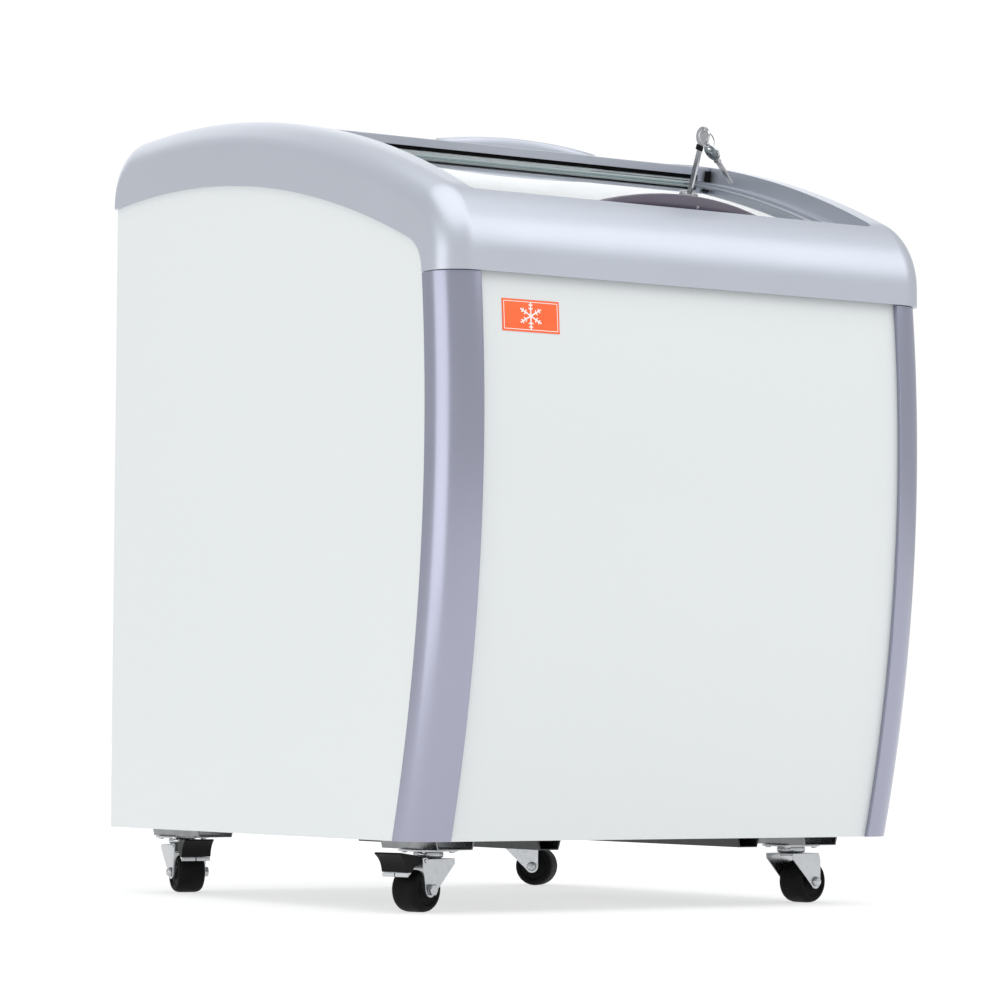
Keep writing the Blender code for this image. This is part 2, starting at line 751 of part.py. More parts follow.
def make_caster(name, side, y, heading, braked):
    """One swivel caster. Locally the swivel is the Z axis and the wheel trails towards +X."""
    centre = Vector((side * CASTER_X, y, 0))
    place = Matrix.Translation(centre) @ Matrix.Rotation(math.radians(heading), 4, "Z")
    swivel = pivot(name + "_swivel", (centre.x, centre.y, 0.055))
    axle_z = WHEEL_RADIUS
    hub = place @ Vector((CASTER_TRAIL, 0, axle_z))
    spin = pivot(name + "_axle_line", hub)

    half = 0.023
    corner = 0.006
    outline = []
    for cx, cy, start in ((1, 1, 0), (-1, 1, 90), (-1, -1, 180), (1, -1, 270)):
        outline += arc((cx * (half - corner), cy * (half - corner)), corner, start, start + 90, 3)
    holes = [arc((cx * 0.017, cy * 0.017), 0.0024, 0, 315, 7) for cx in (-1, 1) for cy in (-1, 1)]
    plate = prism(name + "_caster_plate", [outline] + holes, "XY", 0.0584, 0.0602, Matrix.Translation(centre))
    as_part(plate, "zinc", smooth=False)
    race_profile = [(0.0, 0.0590), (0.0125, 0.0590), (0.0150, 0.0560), (0.0150, 0.0518), (0.0, 0.0518)]
    race = as_cutter(turned(name + "_race", race_profile, Matrix.Translation(centre), 20))
    boolean(plate, race, "UNION")

    # The fork: a side outline cut to a U that is open below, ahead and behind.
    wide = FORK_INSIDE + FORK_WALL
    outline = [(-0.0185, 0.0515), (-0.0185, 0.0465)]
    outline += arc((CASTER_TRAIL, axle_z), 0.0075, 212, 355, 6)
    if braked:
        outline += [(0.0300, 0.0440), (0.0302, 0.0530), (0.0230, 0.0530)]
    else:
        outline.append((0.0255, 0.0440))
    outline.append((0.0230, 0.0515))
    fork = prism(name + "_fork", outline, "XZ", -wide, wide, place)
    as_part(fork, "zinc", smooth=False, parent=swivel)
    inside = box(name + "_fork_inside", (-0.1, -FORK_INSIDE, -0.02), (0.1, FORK_INSIDE, 0.0499), place)
    boolean(fork, as_cutter(inside))
    bore = rod(
        name + "_fork_bore",
        0.0034,
        place @ Vector((CASTER_TRAIL, -0.03, axle_z)),
        place @ Vector((CASTER_TRAIL, 0.03, axle_z)),
    )
    boolean(fork, as_cutter(bore))

    # The wheel: a crowned tread with a bore, turned about its axle, standing on one flat facet.
    edge = WHEEL_WIDTH / 2
    steps = 32
    r = WHEEL_RADIUS / math.cos(math.pi / steps)
    rim = [
        (0.0034, edge),
        (0.0080, edge),
        (0.0090, edge - 0.0015),
        (0.0160, edge - 0.0015),
        (r - 0.003, edge - 0.0008),
        (r - 0.0008, edge - 0.0035),
        (r, edge - 0.008),
    ]
    profile = rim + [(a, -b) for a, b in reversed(rim)] + [rim[0]]
    lay_down = Matrix.Rotation(math.radians(90), 4, "X")
    wheel_place = place @ Matrix.Translation((CASTER_TRAIL, 0, axle_z)) @ lay_down
    face_down = Matrix.Rotation(math.pi / steps, 4, "Z")
    wheel = turned(name + "_wheel", profile, wheel_place @ face_down, steps)
    as_part(wheel, "black_rubber", parent=spin)

    head = 0.0050
    reach = wide + GAP
    profile = [
        (0.0, reach + head),
        (0.0048, reach + head),
        (0.0052, reach),
        (0.0031, reach),
        (0.0031, -reach),
        (0.0052, -reach),
        (0.0048, -reach - head),
        (0.0, -reach - head),
    ]
    axle = turned(name + "_axle_bolt", profile, wheel_place, 12)
    as_part(axle, "zinc", parent=swivel)

    if braked:
        between = box(name + "_ear_gap", (0.0231, -FORK_INSIDE, -0.02), (0.1, FORK_INSIDE, 0.0560), place)
        boolean(fork, as_cutter(between))
        pin_hole = rod(name + "_pin_hole", 0.0019, *pin_ends(place, 0.03), 12)
        boolean(fork, as_cutter(pin_hole))
        make_brake(name, place)


def pin_ends(place, half):
    """Both ends of the brake's pivot pin."""
    low = place @ Vector((BRAKE_PIVOT_X, -half, BRAKE_PIVOT_Z))
    high = place @ Vector((BRAKE_PIVOT_X, half, BRAKE_PIVOT_Z))
    return low, high


def make_brake(name, place):
    """The pedal over the trailing side of the wheel, and the zinc shoe it presses on the tread."""
    hinge = pivot(name + "_brake_hinge", place @ Vector((BRAKE_PIVOT_X, 0, BRAKE_PIVOT_Z)))
    outline = [(0.0245, 0.0480), (0.0245, 0.0520), (0.0290, 0.0535), (0.0350, 0.0552)]
    outline += [(0.0610, 0.0585), (0.0620, 0.0565)]
    outline += [(0.0575, 0.0535), (0.0535, 0.0485), (0.0515, 0.0435), (0.0505, 0.0390)]
    outline += [(0.0440, 0.0390), (0.0400, 0.0440)]
    half = FORK_INSIDE - 0.0006
    pedal = prism(name + "_brake_pedal", outline, "XZ", -half, half, place)
    as_part(pedal, "black_plastic", parent=hinge)
    pin = rod(name + "_pin", 0.0016, *pin_ends(place, FORK_INSIDE + FORK_WALL + 0.0008), 12)
    boolean(pedal, as_cutter(pin), "UNION")


# ---------------------------------------------------------------- lids
def lid_frame(name, top, bottom, back, front, half_x, border_x, border_deg, glass_bottom, parent):
    """A curved frame with an opening and a rabbet for its glass."""
    frame = arch_slab(name, bottom, top, back, front, half_x, 12)
    opening_x = half_x - border_x
    opening = arch_slab(
        name + "_opening", bottom - 0.02, top + 0.02, back + border_deg, front - border_deg, opening_x, 12
    )
    rabbet = arch_slab(
        name + "_rabbet",
        glass_bottom - GAP,
        top + 0.02,
        back + border_deg - 0.2,
        front - border_deg + 0.2,
        opening_x + 0.0045,
        12,
    )
    as_part(frame, "silver_plastic", parent=parent)
    return frame, as_cutter(opening), as_cutter(rabbet)


def make_rear_lid(parent):
    border_x = 0.014
    border_deg = 1.55
    glass_bottom = 1.3322
    frame, opening, rabbet = lid_frame(
        "rear_lid_frame",
        REAR_LID_TOP_RADIUS,
        REAR_LID_BOTTOM_RADIUS,
        REAR_LID_BACK_DEG,
        REAR_LID_FRONT_DEG,
        REAR_LID_X,
        border_x,
        border_deg,
        glass_bottom,
        parent,
    )
    under = arch_slab("rear_lid_under", 1.30, 1.3285, 9.0, 13.0, REAR_LID_X - border_x, 4)
    for cutter in (opening, rabbet, as_cutter(under)):
        boolean(frame, cutter)
    glass = arch_slab(
        "rear_lid_glass",
        glass_bottom,
        glass_bottom + GLASS,
        REAR_LID_BACK_DEG + border_deg - 0.18,
        REAR_LID_FRONT_DEG - border_deg + 0.18,
        REAR_LID_X - border_x + 0.0042,
        12,
    )
    as_part(glass, "glass", parent=parent)
    seal = arch_slab("rear_lid_seal", 1.3190, 1.3282, 11.35, 11.90, REAR_LID_X - border_x - 0.001, 2)
    as_part(seal, "black_rubber", parent=parent)
    place = arch_frame(REAR_HANDLE_DEG, 0.0, REAR_LID_TOP_RADIUS + GAP)
    make_handle("rear_lid_handle", place, REAR_HANDLE_HEIGHT, "silver_plastic", parent)


def make_front_lid(parent):
    border_x = 0.0145
    border_deg = 1.10
    glass_bottom = 1.3137
    frame, opening, rabbet = lid_frame(
        "front_lid_frame",
        FRONT_LID_TOP_RADIUS,
        FRONT_LID_BOTTOM_RADIUS,
        FRONT_LID_BACK_DEG,
        FRONT_LID_FRONT_DEG,
        FRONT_LID_X,
        border_x,
        border_deg,
        glass_bottom,
        parent,
    )
    nose = arch_slab(
        "front_lid_nose",
        FRONT_LID_BOTTOM_RADIUS,
        FRONT_LID_NOSE_RADIUS,
        FRONT_LID_NOSE_DEG,
        FRONT_LID_FRONT_DEG,
        FRONT_LID_X,
        3,
    )
    rear_glass = FRONT_LID_BACK_DEG + border_deg
    front_glass = FRONT_LID_GLASS_DEG - 0.2
    opening = arch_slab("front_lid_hole", 1.29, 1.36, rear_glass, front_glass, FRONT_LID_X - border_x, 12)
    rabbet = arch_slab(
        "front_lid_recess",
        glass_bottom - GAP,
        1.36,
        rear_glass - 0.2,
        front_glass + 0.15,
        FRONT_LID_X - border_x + 0.0045,
        12,
    )
    boss_front = FRONT_LID_NOSE_DEG + 0.2
    boss_outline = arch_arc(LOCK_BOSS_RADIUS, FRONT_LID_GLASS_DEG, boss_front, 4)
    boss_outline += reversed(arch_arc(FRONT_LID_BOTTOM_RADIUS + 0.002, FRONT_LID_GLASS_DEG, boss_front, 4))
    boss = prism("lock_boss", boss_outline, "YZ", LOCK_X - LOCK_BOSS_HALF_X, LOCK_X + LOCK_BOSS_HALF_X)
    boolean(frame, as_cutter(nose), "UNION")
    boolean(frame, as_cutter(boss), "UNION")
    boolean(frame, as_cutter(opening))
    boolean(frame, as_cutter(rabbet))
    glass = arch_slab(
        "front_lid_glass",
        glass_bottom,
        glass_bottom + GLASS,
        rear_glass - 0.18,
        front_glass + 0.13,
        FRONT_LID_X - border_x + 0.0042,
        12,
    )
    as_part(glass, "glass", parent=parent)
    place = arch_frame(FRONT_HANDLE_DEG, FRONT_HANDLE_X, FRONT_LID_NOSE_RADIUS + GAP)
    make_handle("front_lid_handle", place, FRONT_HANDLE_HEIGHT, "dark_plastic", parent)
    return frame


def make_handle(name, place, height, kind, parent):
    """A crescent grip standing across the lid."""
    half = HANDLE_HALF_LENGTH
    reach = (half**2 + height**2) / (2 * height)
    sweep = math.degrees(math.asin(half / reach))
    outline = arc((0, height - reach), reach, 90 - sweep, 90 + sweep, 18)
    base = 0.0012
    outline = [(x, max(z, 0) + base) for x, z in outline]
    outline += [(-half, 0.0), (half, 0.0)]
    half_thick = HANDLE_THICKNESS / 2
    as_part(prism(name, outline, "XZ", -half_thick, half_thick, place), kind, parent=parent)


# ---------------------------------------------------------------- lock and keys
def make_lock(lid, frame):
    base = arch_frame(LOCK_DEG, LOCK_X, 0.0)
    barrel_profile = [
        (0.0056, 1.3440),
        (0.0080, 1.3440),
        (0.0095, 1.3425),
        (0.0100, 1.3380),
        (0.0100, LOCK_BOSS_RADIUS + GAP),
        (0.0078, LOCK_BOSS_RADIUS + GAP),
        (0.0078, 1.3060),
        (0.0056, 1.3060),
        (0.0056, 1.3440),
    ]
    barrel = turned("lock_barrel", barrel_profile, base, 20)
    as_part(barrel, "chrome", parent=lid)
    hole = rod("lock_hole", 0.0081, base @ Vector((0, 0, 1.29)), base @ Vector((0, 0, 1.36)), 20)
    boolean(frame, as_cutter(hole))

    turn = pivot("lock_axis", base @ Vector((0, 0, 1.3440)))
    turn.parent = lid
    turn.matrix_parent_inverse = lid.matrix_world.inverted()
    core = rod("lock_core", 0.0052, base @ Vector((0, 0, 1.2985)), base @ Vector((0, 0, 1.3436)), 16)
    as_part(core, "chrome", parent=turn)
    cam = box("lock_cam_blade", (-0.0052, -0.0045, 1.2985), (0.0215, 0.0045, 1.3006), base)
    boolean(core, as_cutter(cam), "UNION")
    turned_base = base @ Matrix.Rotation(math.radians(KEY_TURN_DEG), 4, "Z")
    keyway = box("lock_keyway", (-0.0014, -0.0034, 1.3436 - KEY_DEPTH), (0.0014, 0.0034, 1.36), turned_base)
    boolean(core, as_cutter(keyway))
    make_keys(turned_base, turn)


def make_keys(base, turn):
    foot = base @ Matrix.Translation((0, 0, 1.3440 + GAP))
    half = KEY_THICKNESS / 2
    bow_centre = (0.0, KEY_LENGTH)
    hole_at = (0.0, KEY_LENGTH + 0.0055)
    blade = 0.0030
    collar = 0.0042
    tip = -KEY_DEPTH + 0.0012
    outline = [(-blade, -0.0002), (-blade, tip), (blade, tip), (blade, -0.0002)]
    outline += [(collar, 0.0), (collar, 0.0030), (blade, 0.0034), (blade, KEY_LENGTH - 0.0105)]
    outline += arc(bow_centre, KEY_BOW_RADIUS, -62, 242, 18)
    outline += [(-blade, KEY_LENGTH - 0.0105), (-blade, 0.0034), (-collar, 0.0030), (-collar, 0.0)]
    hole = arc(hole_at, KEY_HOLE_RADIUS, 0, 330, 11)
    key = prism("key", [outline, hole], "YZ", -half, half, foot)
    as_part(key, "chrome", parent=turn)

    # The ring leans forward from the key's hole, and the spare key hangs on its far side.
    hole_place = foot @ Vector((0, *hole_at))
    forward = (foot.to_3x3() @ Vector((0, -1, 0))).normalized()
    sideways = (foot.to_3x3() @ Vector((1, 0, 0))).normalized()
    down = (foot.to_3x3() @ Vector((0, 0, -1))).normalized()
    lean = (forward + down).normalized()
    ring_centre = hole_place + lean * RING_RADIUS
    steps = 24
    ring_points = []
    for i in range(steps):
        a = 2 * math.pi * i / steps
        across_ring = sideways * (RING_RADIUS * math.sin(a))
        along_ring = lean * (RING_RADIUS * math.cos(a))
        ring_points.append(ring_centre + across_ring - along_ring)
    ring = tube("key_ring", [tuple(p) for p in ring_points], 0.0007, cyclic=True)
    as_part(ring, "chrome", parent=turn)

    spare_hole = hole_place + lean * (2 * RING_RADIUS)
    swing = pivot("spare_key_hang", spare_hole)
    swing.parent = turn
    swing.matrix_parent_inverse = turn.matrix_world.inverted()
    length = 0.042
    outline = arc((0.0, -0.0055), KEY_BOW_RADIUS, -62, 242, 18)
    outline += [(-0.0028, -0.0152), (-0.0028, -length), (0.0, -length - 0.002)]
    outline += [(0.0028, -length), (0.0028, -0.0152)]
    slope = math.atan2(0.627, 0.779)
    plate_place = Matrix.Translation(spare_hole) @ Matrix.Rotation(-slope, 4, "Y")
    hole = arc((0, 0), KEY_HOLE_RADIUS, 0, 330, 11)
    spare = prism("spare_key", [outline, hole], "YZ", -half, half, plate_place)
    as_part(spare, "chrome", parent=swing)


# ---------------------------------------------------------------- machine room
def make_machine_room():
    cx, cy = COMPRESSOR_XY
    tray = box("compressor_tray", (-0.270, 0.125, 0.0760), (-0.010, 0.330, 0.0775))
    as_part(tray, "black_paint", smooth=False)
    foot_z = 0.0780
    profile = [
        (0.0, foot_z + 0.176),
        (0.030, foot_z + 0.173),
        (0.052, foot_z + 0.160),
        (0.062, foot_z + 0.140),
        (0.065, foot_z + 0.110),
        (0.068, foot_z + 0.108),
        (0.068, foot_z + 0.098),
        (0.065, foot_z + 0.096),
        (0.062, foot_z + 0.045),
        (0.050, foot_z + 0.022),
        (0.045, foot_z + 0.012),
        (0.082, foot_z + 0.010),
        (0.082, foot_z),
        (0.0, foot_z),
    ]
    compressor = turned("compressor", profile, Matrix.Translation((cx, cy, 0)), 24)
    as_part(compressor, "black_paint")

    # Condenser: upright fins on a spine, with the fan and its shroud beside it.
    fins = 15
    low_y = 0.140
    pitch = 0.0122
    thick = 0.0016
    outline = [(0.190, low_y)]
    for i in range(fins):
        y = low_y + pitch * i
        outline += [(0.250, y), (0.250, y + thick), (0.194, y + thick), (0.194, y + pitch)]
    outline = outline[:-1]
    outline.append((0.190, outline[-1][1]))
    as_part(prism("condenser", outline, "XY", 0.0800, 0.2700), "aluminium", smooth=False)

    fan_y, fan_z = FAN_YZ
    near, far = fan_y - 0.085, fan_y + 0.085
    square = [(near, 0.0800), (far, 0.0800), (far, 0.2750), (near, 0.2750)]
    outline = [square, arc((fan_y, fan_z), 0.0740, 0, 348, 29)]
    shroud = prism("fan_shroud", outline, "YZ", FAN_X + 0.030, FAN_X + 0.046)
    as_part(shroud, "black_paint", smooth=False)
    spin = pivot("fan_axis", (FAN_X, fan_y, fan_z))
    hub = rod("fan_blade", 0.0160, (FAN_X + 0.028, fan_y, fan_z), (FAN_X + 0.048, fan_y, fan_z), 16)
    as_part(hub, "aluminium", smooth=False, parent=spin)
    for i in range(4):
        turn = Matrix.Translation((FAN_X + 0.038, fan_y, fan_z)) @ Matrix.Rotation(i * math.pi / 2, 4, "X")
        turn = turn @ Matrix.Rotation(math.radians(24), 4, "Z")
        vane = box(f"fan_vane_{i}", (-0.0009, -0.024, 0.012), (0.0009, 0.024, 0.068), turn)
        boolean(hub, as_cutter(vane), "UNION")
    motor = rod("fan_motor", 0.0280, (FAN_X - 0.040, fan_y, fan_z), (FAN_X + 0.014, fan_y, fan_z), 20)
    as_part(motor, "black_paint")
    shaft = rod("fan_shaft", 0.0035, (FAN_X + 0.010, fan_y, fan_z), (FAN_X + 0.0275, fan_y, fan_z), 10)
    boolean(motor, as_cutter(shaft), "UNION")
    leg_low = (FAN_X - 0.030, fan_y - 0.012, 0.0762)
    leg = box("fan_motor_leg", leg_low, (FAN_X + 0.004, fan_y + 0.012, fan_z - 0.020))
    boolean(motor, as_cutter(leg), "UNION")

    # Thermostat dial on the grille, the inlet for the mains lead, and the drain.
    dial_at = Vector((0.0, 0.0, 0.150))
    axis = pivot("thermostat_axis", (dial_at.x, 0.345, dial_at.z))
    point_back = Matrix.Translation((dial_at.x, 0.0, dial_at.z)) @ Matrix.Rotation(math.radians(-90), 4, "X")
    profile = [
        (0.0, 0.3535),
        (0.0110, 0.3535),
        (0.0130, 0.3520),
        (0.0150, 0.3416),
        (0.0040, 0.3416),
        (0.0040, 0.3300),
        (0.0, 0.3300),
    ]
    as_part(turned("thermostat_dial", profile, point_back, 20), "black_plastic", parent=axis)
    point_back = Matrix.Translation((-0.264, 0.0, 0.0980)) @ Matrix.Rotation(math.radians(-90), 4, "X")
    profile = [
        (0.0040, 0.3540),
        (0.0090, 0.3540),
        (0.0120, 0.3470),
        (0.0120, 0.3416),
        (0.0080, 0.3416),
        (0.0080, 0.3320),
        (0.0040, 0.3320),
        (0.0040, 0.3540),
    ]
    as_part(turned("mains_lead_inlet", profile, point_back, 16), "black_plastic")


def make_drain():
    """A drain plug in the floor of the liner. It lifts out."""
    place = Matrix.Translation((0.12, -0.18, 0))
    floor = LINER_FLOOR_Z + LINER_WALL
    profile = [
        (0.0, floor + 0.008),
        (0.009, floor + 0.008),
        (0.011, floor + 0.0005),
        (0.0, floor + 0.0005),
    ]
    as_part(turned("drain_plug", profile, place, 16), "black_rubber")


make_top_frame()
make_side_panels()
make_pillars()
make_front_panel()
make_label()
make_back()
make_base_pan()
make_liner()
make_foam()
make_evaporator()
make_chassis()
for caster in CASTERS:
    make_caster(*caster)
rear_lid = pivot("rear_lid_axis", (0.0, ARCH_Y, ARCH_Z))
make_rear_lid(rear_lid)
front_lid = pivot("front_lid_axis", (0.0, ARCH_Y, ARCH_Z))
make_lock(front_lid, make_front_lid(front_lid))
make_machine_room()
make_drain()
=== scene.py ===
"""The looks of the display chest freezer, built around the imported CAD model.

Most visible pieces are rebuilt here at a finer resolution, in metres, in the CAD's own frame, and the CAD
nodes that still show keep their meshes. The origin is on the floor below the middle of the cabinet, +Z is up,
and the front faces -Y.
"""

import json
import math

import bmesh
import bpy
from mathutils import Matrix, Vector


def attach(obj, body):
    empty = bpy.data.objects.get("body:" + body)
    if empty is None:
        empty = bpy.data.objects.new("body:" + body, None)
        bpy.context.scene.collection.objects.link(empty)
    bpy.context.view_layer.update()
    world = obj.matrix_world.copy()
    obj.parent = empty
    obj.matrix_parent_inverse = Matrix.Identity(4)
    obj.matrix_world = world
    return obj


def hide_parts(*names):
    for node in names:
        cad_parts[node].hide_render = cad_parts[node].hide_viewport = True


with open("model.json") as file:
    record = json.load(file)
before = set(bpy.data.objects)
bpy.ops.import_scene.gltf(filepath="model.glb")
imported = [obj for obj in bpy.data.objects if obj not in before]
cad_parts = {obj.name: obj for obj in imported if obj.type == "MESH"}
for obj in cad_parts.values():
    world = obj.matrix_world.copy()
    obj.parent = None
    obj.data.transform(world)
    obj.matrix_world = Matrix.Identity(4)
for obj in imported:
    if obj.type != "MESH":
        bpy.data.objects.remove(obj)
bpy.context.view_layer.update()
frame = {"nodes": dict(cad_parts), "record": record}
NODES = frame["nodes"]

# ---------------------------------------------------------------- dimensions, as in the CAD
WIDTH = 0.580
FRAME_BACK_Y = 0.3545
BACK_Y = 0.350
FRONT_Y = -0.350
CABINET_BOTTOM_Z = 0.070
SEAM_Z = 0.6115
BOW_RADIUS = 1.470
BOW_MIDDLE_Z = 0.470
BOW_FRONT_Y = -0.3545
ARCH_Y = 0.250
ARCH_Z = -0.5165
ARCH_RADIUS = 1.338
SIDE_ARCH_Z = -0.6452
SIDE_ARCH_RADIUS = 1.3967
SIDE_CORNER_ROUND = 0.038
FRAME_FRONT_ROUND = 0.0785
FRAME_BACK_ROUND = 0.045
FRAME_EDGE_ROUND = 0.034
FRAME_BACK_EDGE = 0.004
FRAME_WALL = 0.003
RAIL_INNER_X = 0.2435
OPENING_FRONT_DEG = 25.05
OPENING_BACK_DEG = -2.36
UPPER_LEDGE_RADIUS = 1.3215
GROOVE_RADIUS = 1.3199
GROOVE_OUTER_X = 0.2358
GROOVE_INNER_X = 0.2346
LOWER_LEDGE_RADIUS = 1.3080
LOWER_LEDGE_X = 0.2275
THROAT_X = 0.2150
THROAT_FRONT_Y = -0.2815
THROAT_BACK_Y = 0.2915
SHEET = 0.0012
GAP = 0.0003
GLASS = 0.004
PILLAR_ROUND = 0.038
PILLAR_SIDE = 0.044
PILLAR_INNER_X = 0.2496
PILLAR_WALL = 0.0025
SIDE_PANEL_X = 0.2868
TUCK = 0.008
LINER_X = 0.2200
LINER_WALL = 0.0015
LINER_FRONT_Y = -0.2865
LINER_BACK_Y = 0.2965
LINER_FLOOR_Z = 0.1335
LINER_STEP_Y = 0.075
LINER_STEP_Z = 0.3585
LINER_TOP_RADIUS = 1.2965
REAR_LID_TOP_RADIUS = 1.3370
REAR_LID_BOTTOM_RADIUS = 1.3220
REAR_LID_BACK_DEG = -2.2
REAR_LID_FRONT_DEG = 12.08
REAR_LID_X = 0.2420
REAR_BORDER_X = 0.014
REAR_BORDER_DEG = 1.55
REAR_GLASS_RADIUS = 1.3322
FRONT_LID_TOP_RADIUS = 1.3185
FRONT_LID_BOTTOM_RADIUS = 1.3085
FRONT_LID_BACK_DEG = 10.9
FRONT_LID_FRONT_DEG = 24.85
FRONT_LID_X = 0.2260
FRONT_BORDER_X = 0.0145
FRONT_BORDER_DEG = 1.10
FRONT_GLASS_RADIUS = 1.3137
FRONT_LID_NOSE_RADIUS = 1.3305
FRONT_LID_NOSE_DEG = 24.05
FRONT_LID_GLASS_DEG = 22.9
SEAL_BACK_DEG = 11.35
SEAL_FRONT_DEG = 11.90
HANDLE_HALF_LENGTH = 0.099
REAR_HANDLE_DEG = 11.50
REAR_HANDLE_HEIGHT = 0.0080
FRONT_HANDLE_DEG = 24.42
FRONT_HANDLE_HEIGHT = 0.0149
FRONT_HANDLE_X = 0.011
LOCK_BOSS_RADIUS = 1.3290
LOCK_BOSS_HALF_X = 0.016
LOCK_X = 0.036
LOCK_DEG = 23.40
LOCK_TOP_RADIUS = 1.3440
KEY_LENGTH = 0.0585
KEY_BOW_RADIUS = 0.0095
KEY_HALF = 0.0011
KEY_DEPTH = 0.0210
KEY_TURN_DEG = 5.0
KEY_HOLE_RADIUS = 0.0026
RING_RADIUS = 0.0095
LABEL_LOW = (-0.2251, 0.5560)
LABEL_HIGH = (-0.1600, 0.5872)
DIAL_Z = 0.150
LEAD_INLET = (-0.264, 0.0980)
CASTER_X = 0.220
CASTER_FRONT_Y = -0.208
CASTER_BACK_Y = 0.309
CASTER_TRAIL = 0.018
WHEEL_RADIUS = 0.022
FORK_INSIDE = 0.0170
WHEEL_WIDTH = 0.031
FORK_WALL = 0.0016
BRAKE_PIVOT = (0.0260, 0.0500)
CASTERS = (  # name, side, y, direction of trail in degrees from +X, has a brake
    ("front_left", -1, CASTER_FRONT_Y, 199.0, True),
    ("front_right", 1, CASTER_FRONT_Y, 13.0, False),
    ("back_left", -1, CASTER_BACK_Y, 259.6, True),
    ("back_right", 1, CASTER_BACK_Y, 309.7, False),
)

SURROUND_COLOUR = (0.97, 0.985, 1.0)
SURROUND_LIGHT = 0.70
CEILING_LIGHT = 1.5
FLOOR_GLOW = 0.62
LAMPS = (  # name, place, target, width, height, brightness of its face
    ("left_softbox", (-3.2, -0.35, 0.45), (0, -0.35, 0.35), 2.2, 2.2, 1.25),
    ("front_softbox", (2.6, -3.4, 3.4), (0, 0, 0.5), 3.6, 2.6, 1.35),
    ("back_softbox", (1.2, 4.4, 2.8), (0, 0, 0.7), 6.0, 3.4, 0.72),
)


# ---------------------------------------------------------------- materials
def new_material(name, colour, roughness, metallic=0.0, coat=0.0, specular=0.5):
    """A Principled material whose constants sit on the shader itself."""
    made = bpy.data.materials.new(name)
    made.use_nodes = True
    shader = made.node_tree.nodes["Principled BSDF"]
    constants = {
        "Base Color": (*colour, 1.0),
        "Roughness": roughness,
        "Metallic": metallic,
        "Coat Weight": coat,
        "Coat Roughness": 0.08,
        "Specular IOR Level": specular,
    }
    for socket, value in constants.items():
        shader.inputs[socket].default_value = value
    return made, made.node_tree, shader


def noise(tree, scale, detail=3.0):
    """Noise in object space."""
    place = tree.nodes.new("ShaderNodeTexCoord")
    texture = tree.nodes.new("ShaderNodeTexNoise")
    texture.inputs["Scale"].default_value = scale
    texture.inputs["Detail"].default_value = detail
    tree.links.new(place.outputs["Object"], texture.inputs["Vector"])
    return texture.outputs["Fac"]


def vary(tree, shader, socket, value, low, high):
    """Spreads two colours or two greys over the middle of a noise's range, into a shader's socket."""
    made = tree.nodes.new("ShaderNodeValToRGB")
    for element, position, colour in zip(made.color_ramp.elements, (0.3, 0.7), (low, high)):
        element.position = position
        element.color = (*colour, 1.0)
    tree.links.new(value, made.inputs["Fac"])
    tree.links.new(made.outputs["Color"], shader.inputs[socket])


def add_bump(tree, shader, value, distance, strength=1.0):
    bump = tree.nodes.new("ShaderNodeBump")
    bump.inputs["Distance"].default_value = distance
    bump.inputs["Strength"].default_value = strength
    tree.links.new(value, bump.inputs["Height"])
    tree.links.new(bump.outputs["Normal"], shader.inputs["Normal"])


def surface(name, low, high, rough, metallic, coat, scale, grain, depth, specular=0.5):
    """A finish with slow colour drift, uneven gloss and a fine grain.

    low and high are the colours that it drifts between, and rough is the range of its roughness.
    scale is the drift's frequency, grain is the bump's, and depth is the bump's height.
    """
    made, tree, shader = new_material(name, low, rough[0], metallic, coat, specular)
    vary(tree, shader, "Base Color", noise(tree, scale, 4.0), low, high)
    vary(tree, shader, "Roughness", noise(tree, scale * 5, 5.0), (rough[0],) * 3, (rough[1],) * 3)
    add_bump(tree, shader, noise(tree, grain, 2.0), depth)
    return made


def glass_material():
    made, tree, shader = new_material("lid_glass", (0.90, 0.955, 0.965), 0.015, 0.0, 0.0, 0.5)
    shader.inputs["Transmission Weight"].default_value = 1.0
    shader.inputs["IOR"].default_value = 1.47
    vary(tree, shader, "Roughness", noise(tree, 9.0), (0.008,) * 3, (0.030,) * 3)
    return made


def liner_material():
    """Pale stucco-embossed sheet."""
    made, tree, shader = new_material("liner_sheet", (0.80, 0.84, 0.87), 0.35, 0.35)
    cells = tree.nodes.new("ShaderNodeTexVoronoi")
    cells.inputs["Scale"].default_value = 420.0
    place = tree.nodes.new("ShaderNodeTexCoord")
    tree.links.new(place.outputs["Object"], cells.inputs["Vector"])
    add_bump(tree, shader, cells.outputs["Distance"], 0.0003, 0.6)
    vary(tree, shader, "Base Color", noise(tree, 5.0), (0.78, 0.83, 0.86), (0.84, 0.87, 0.89))
    return made


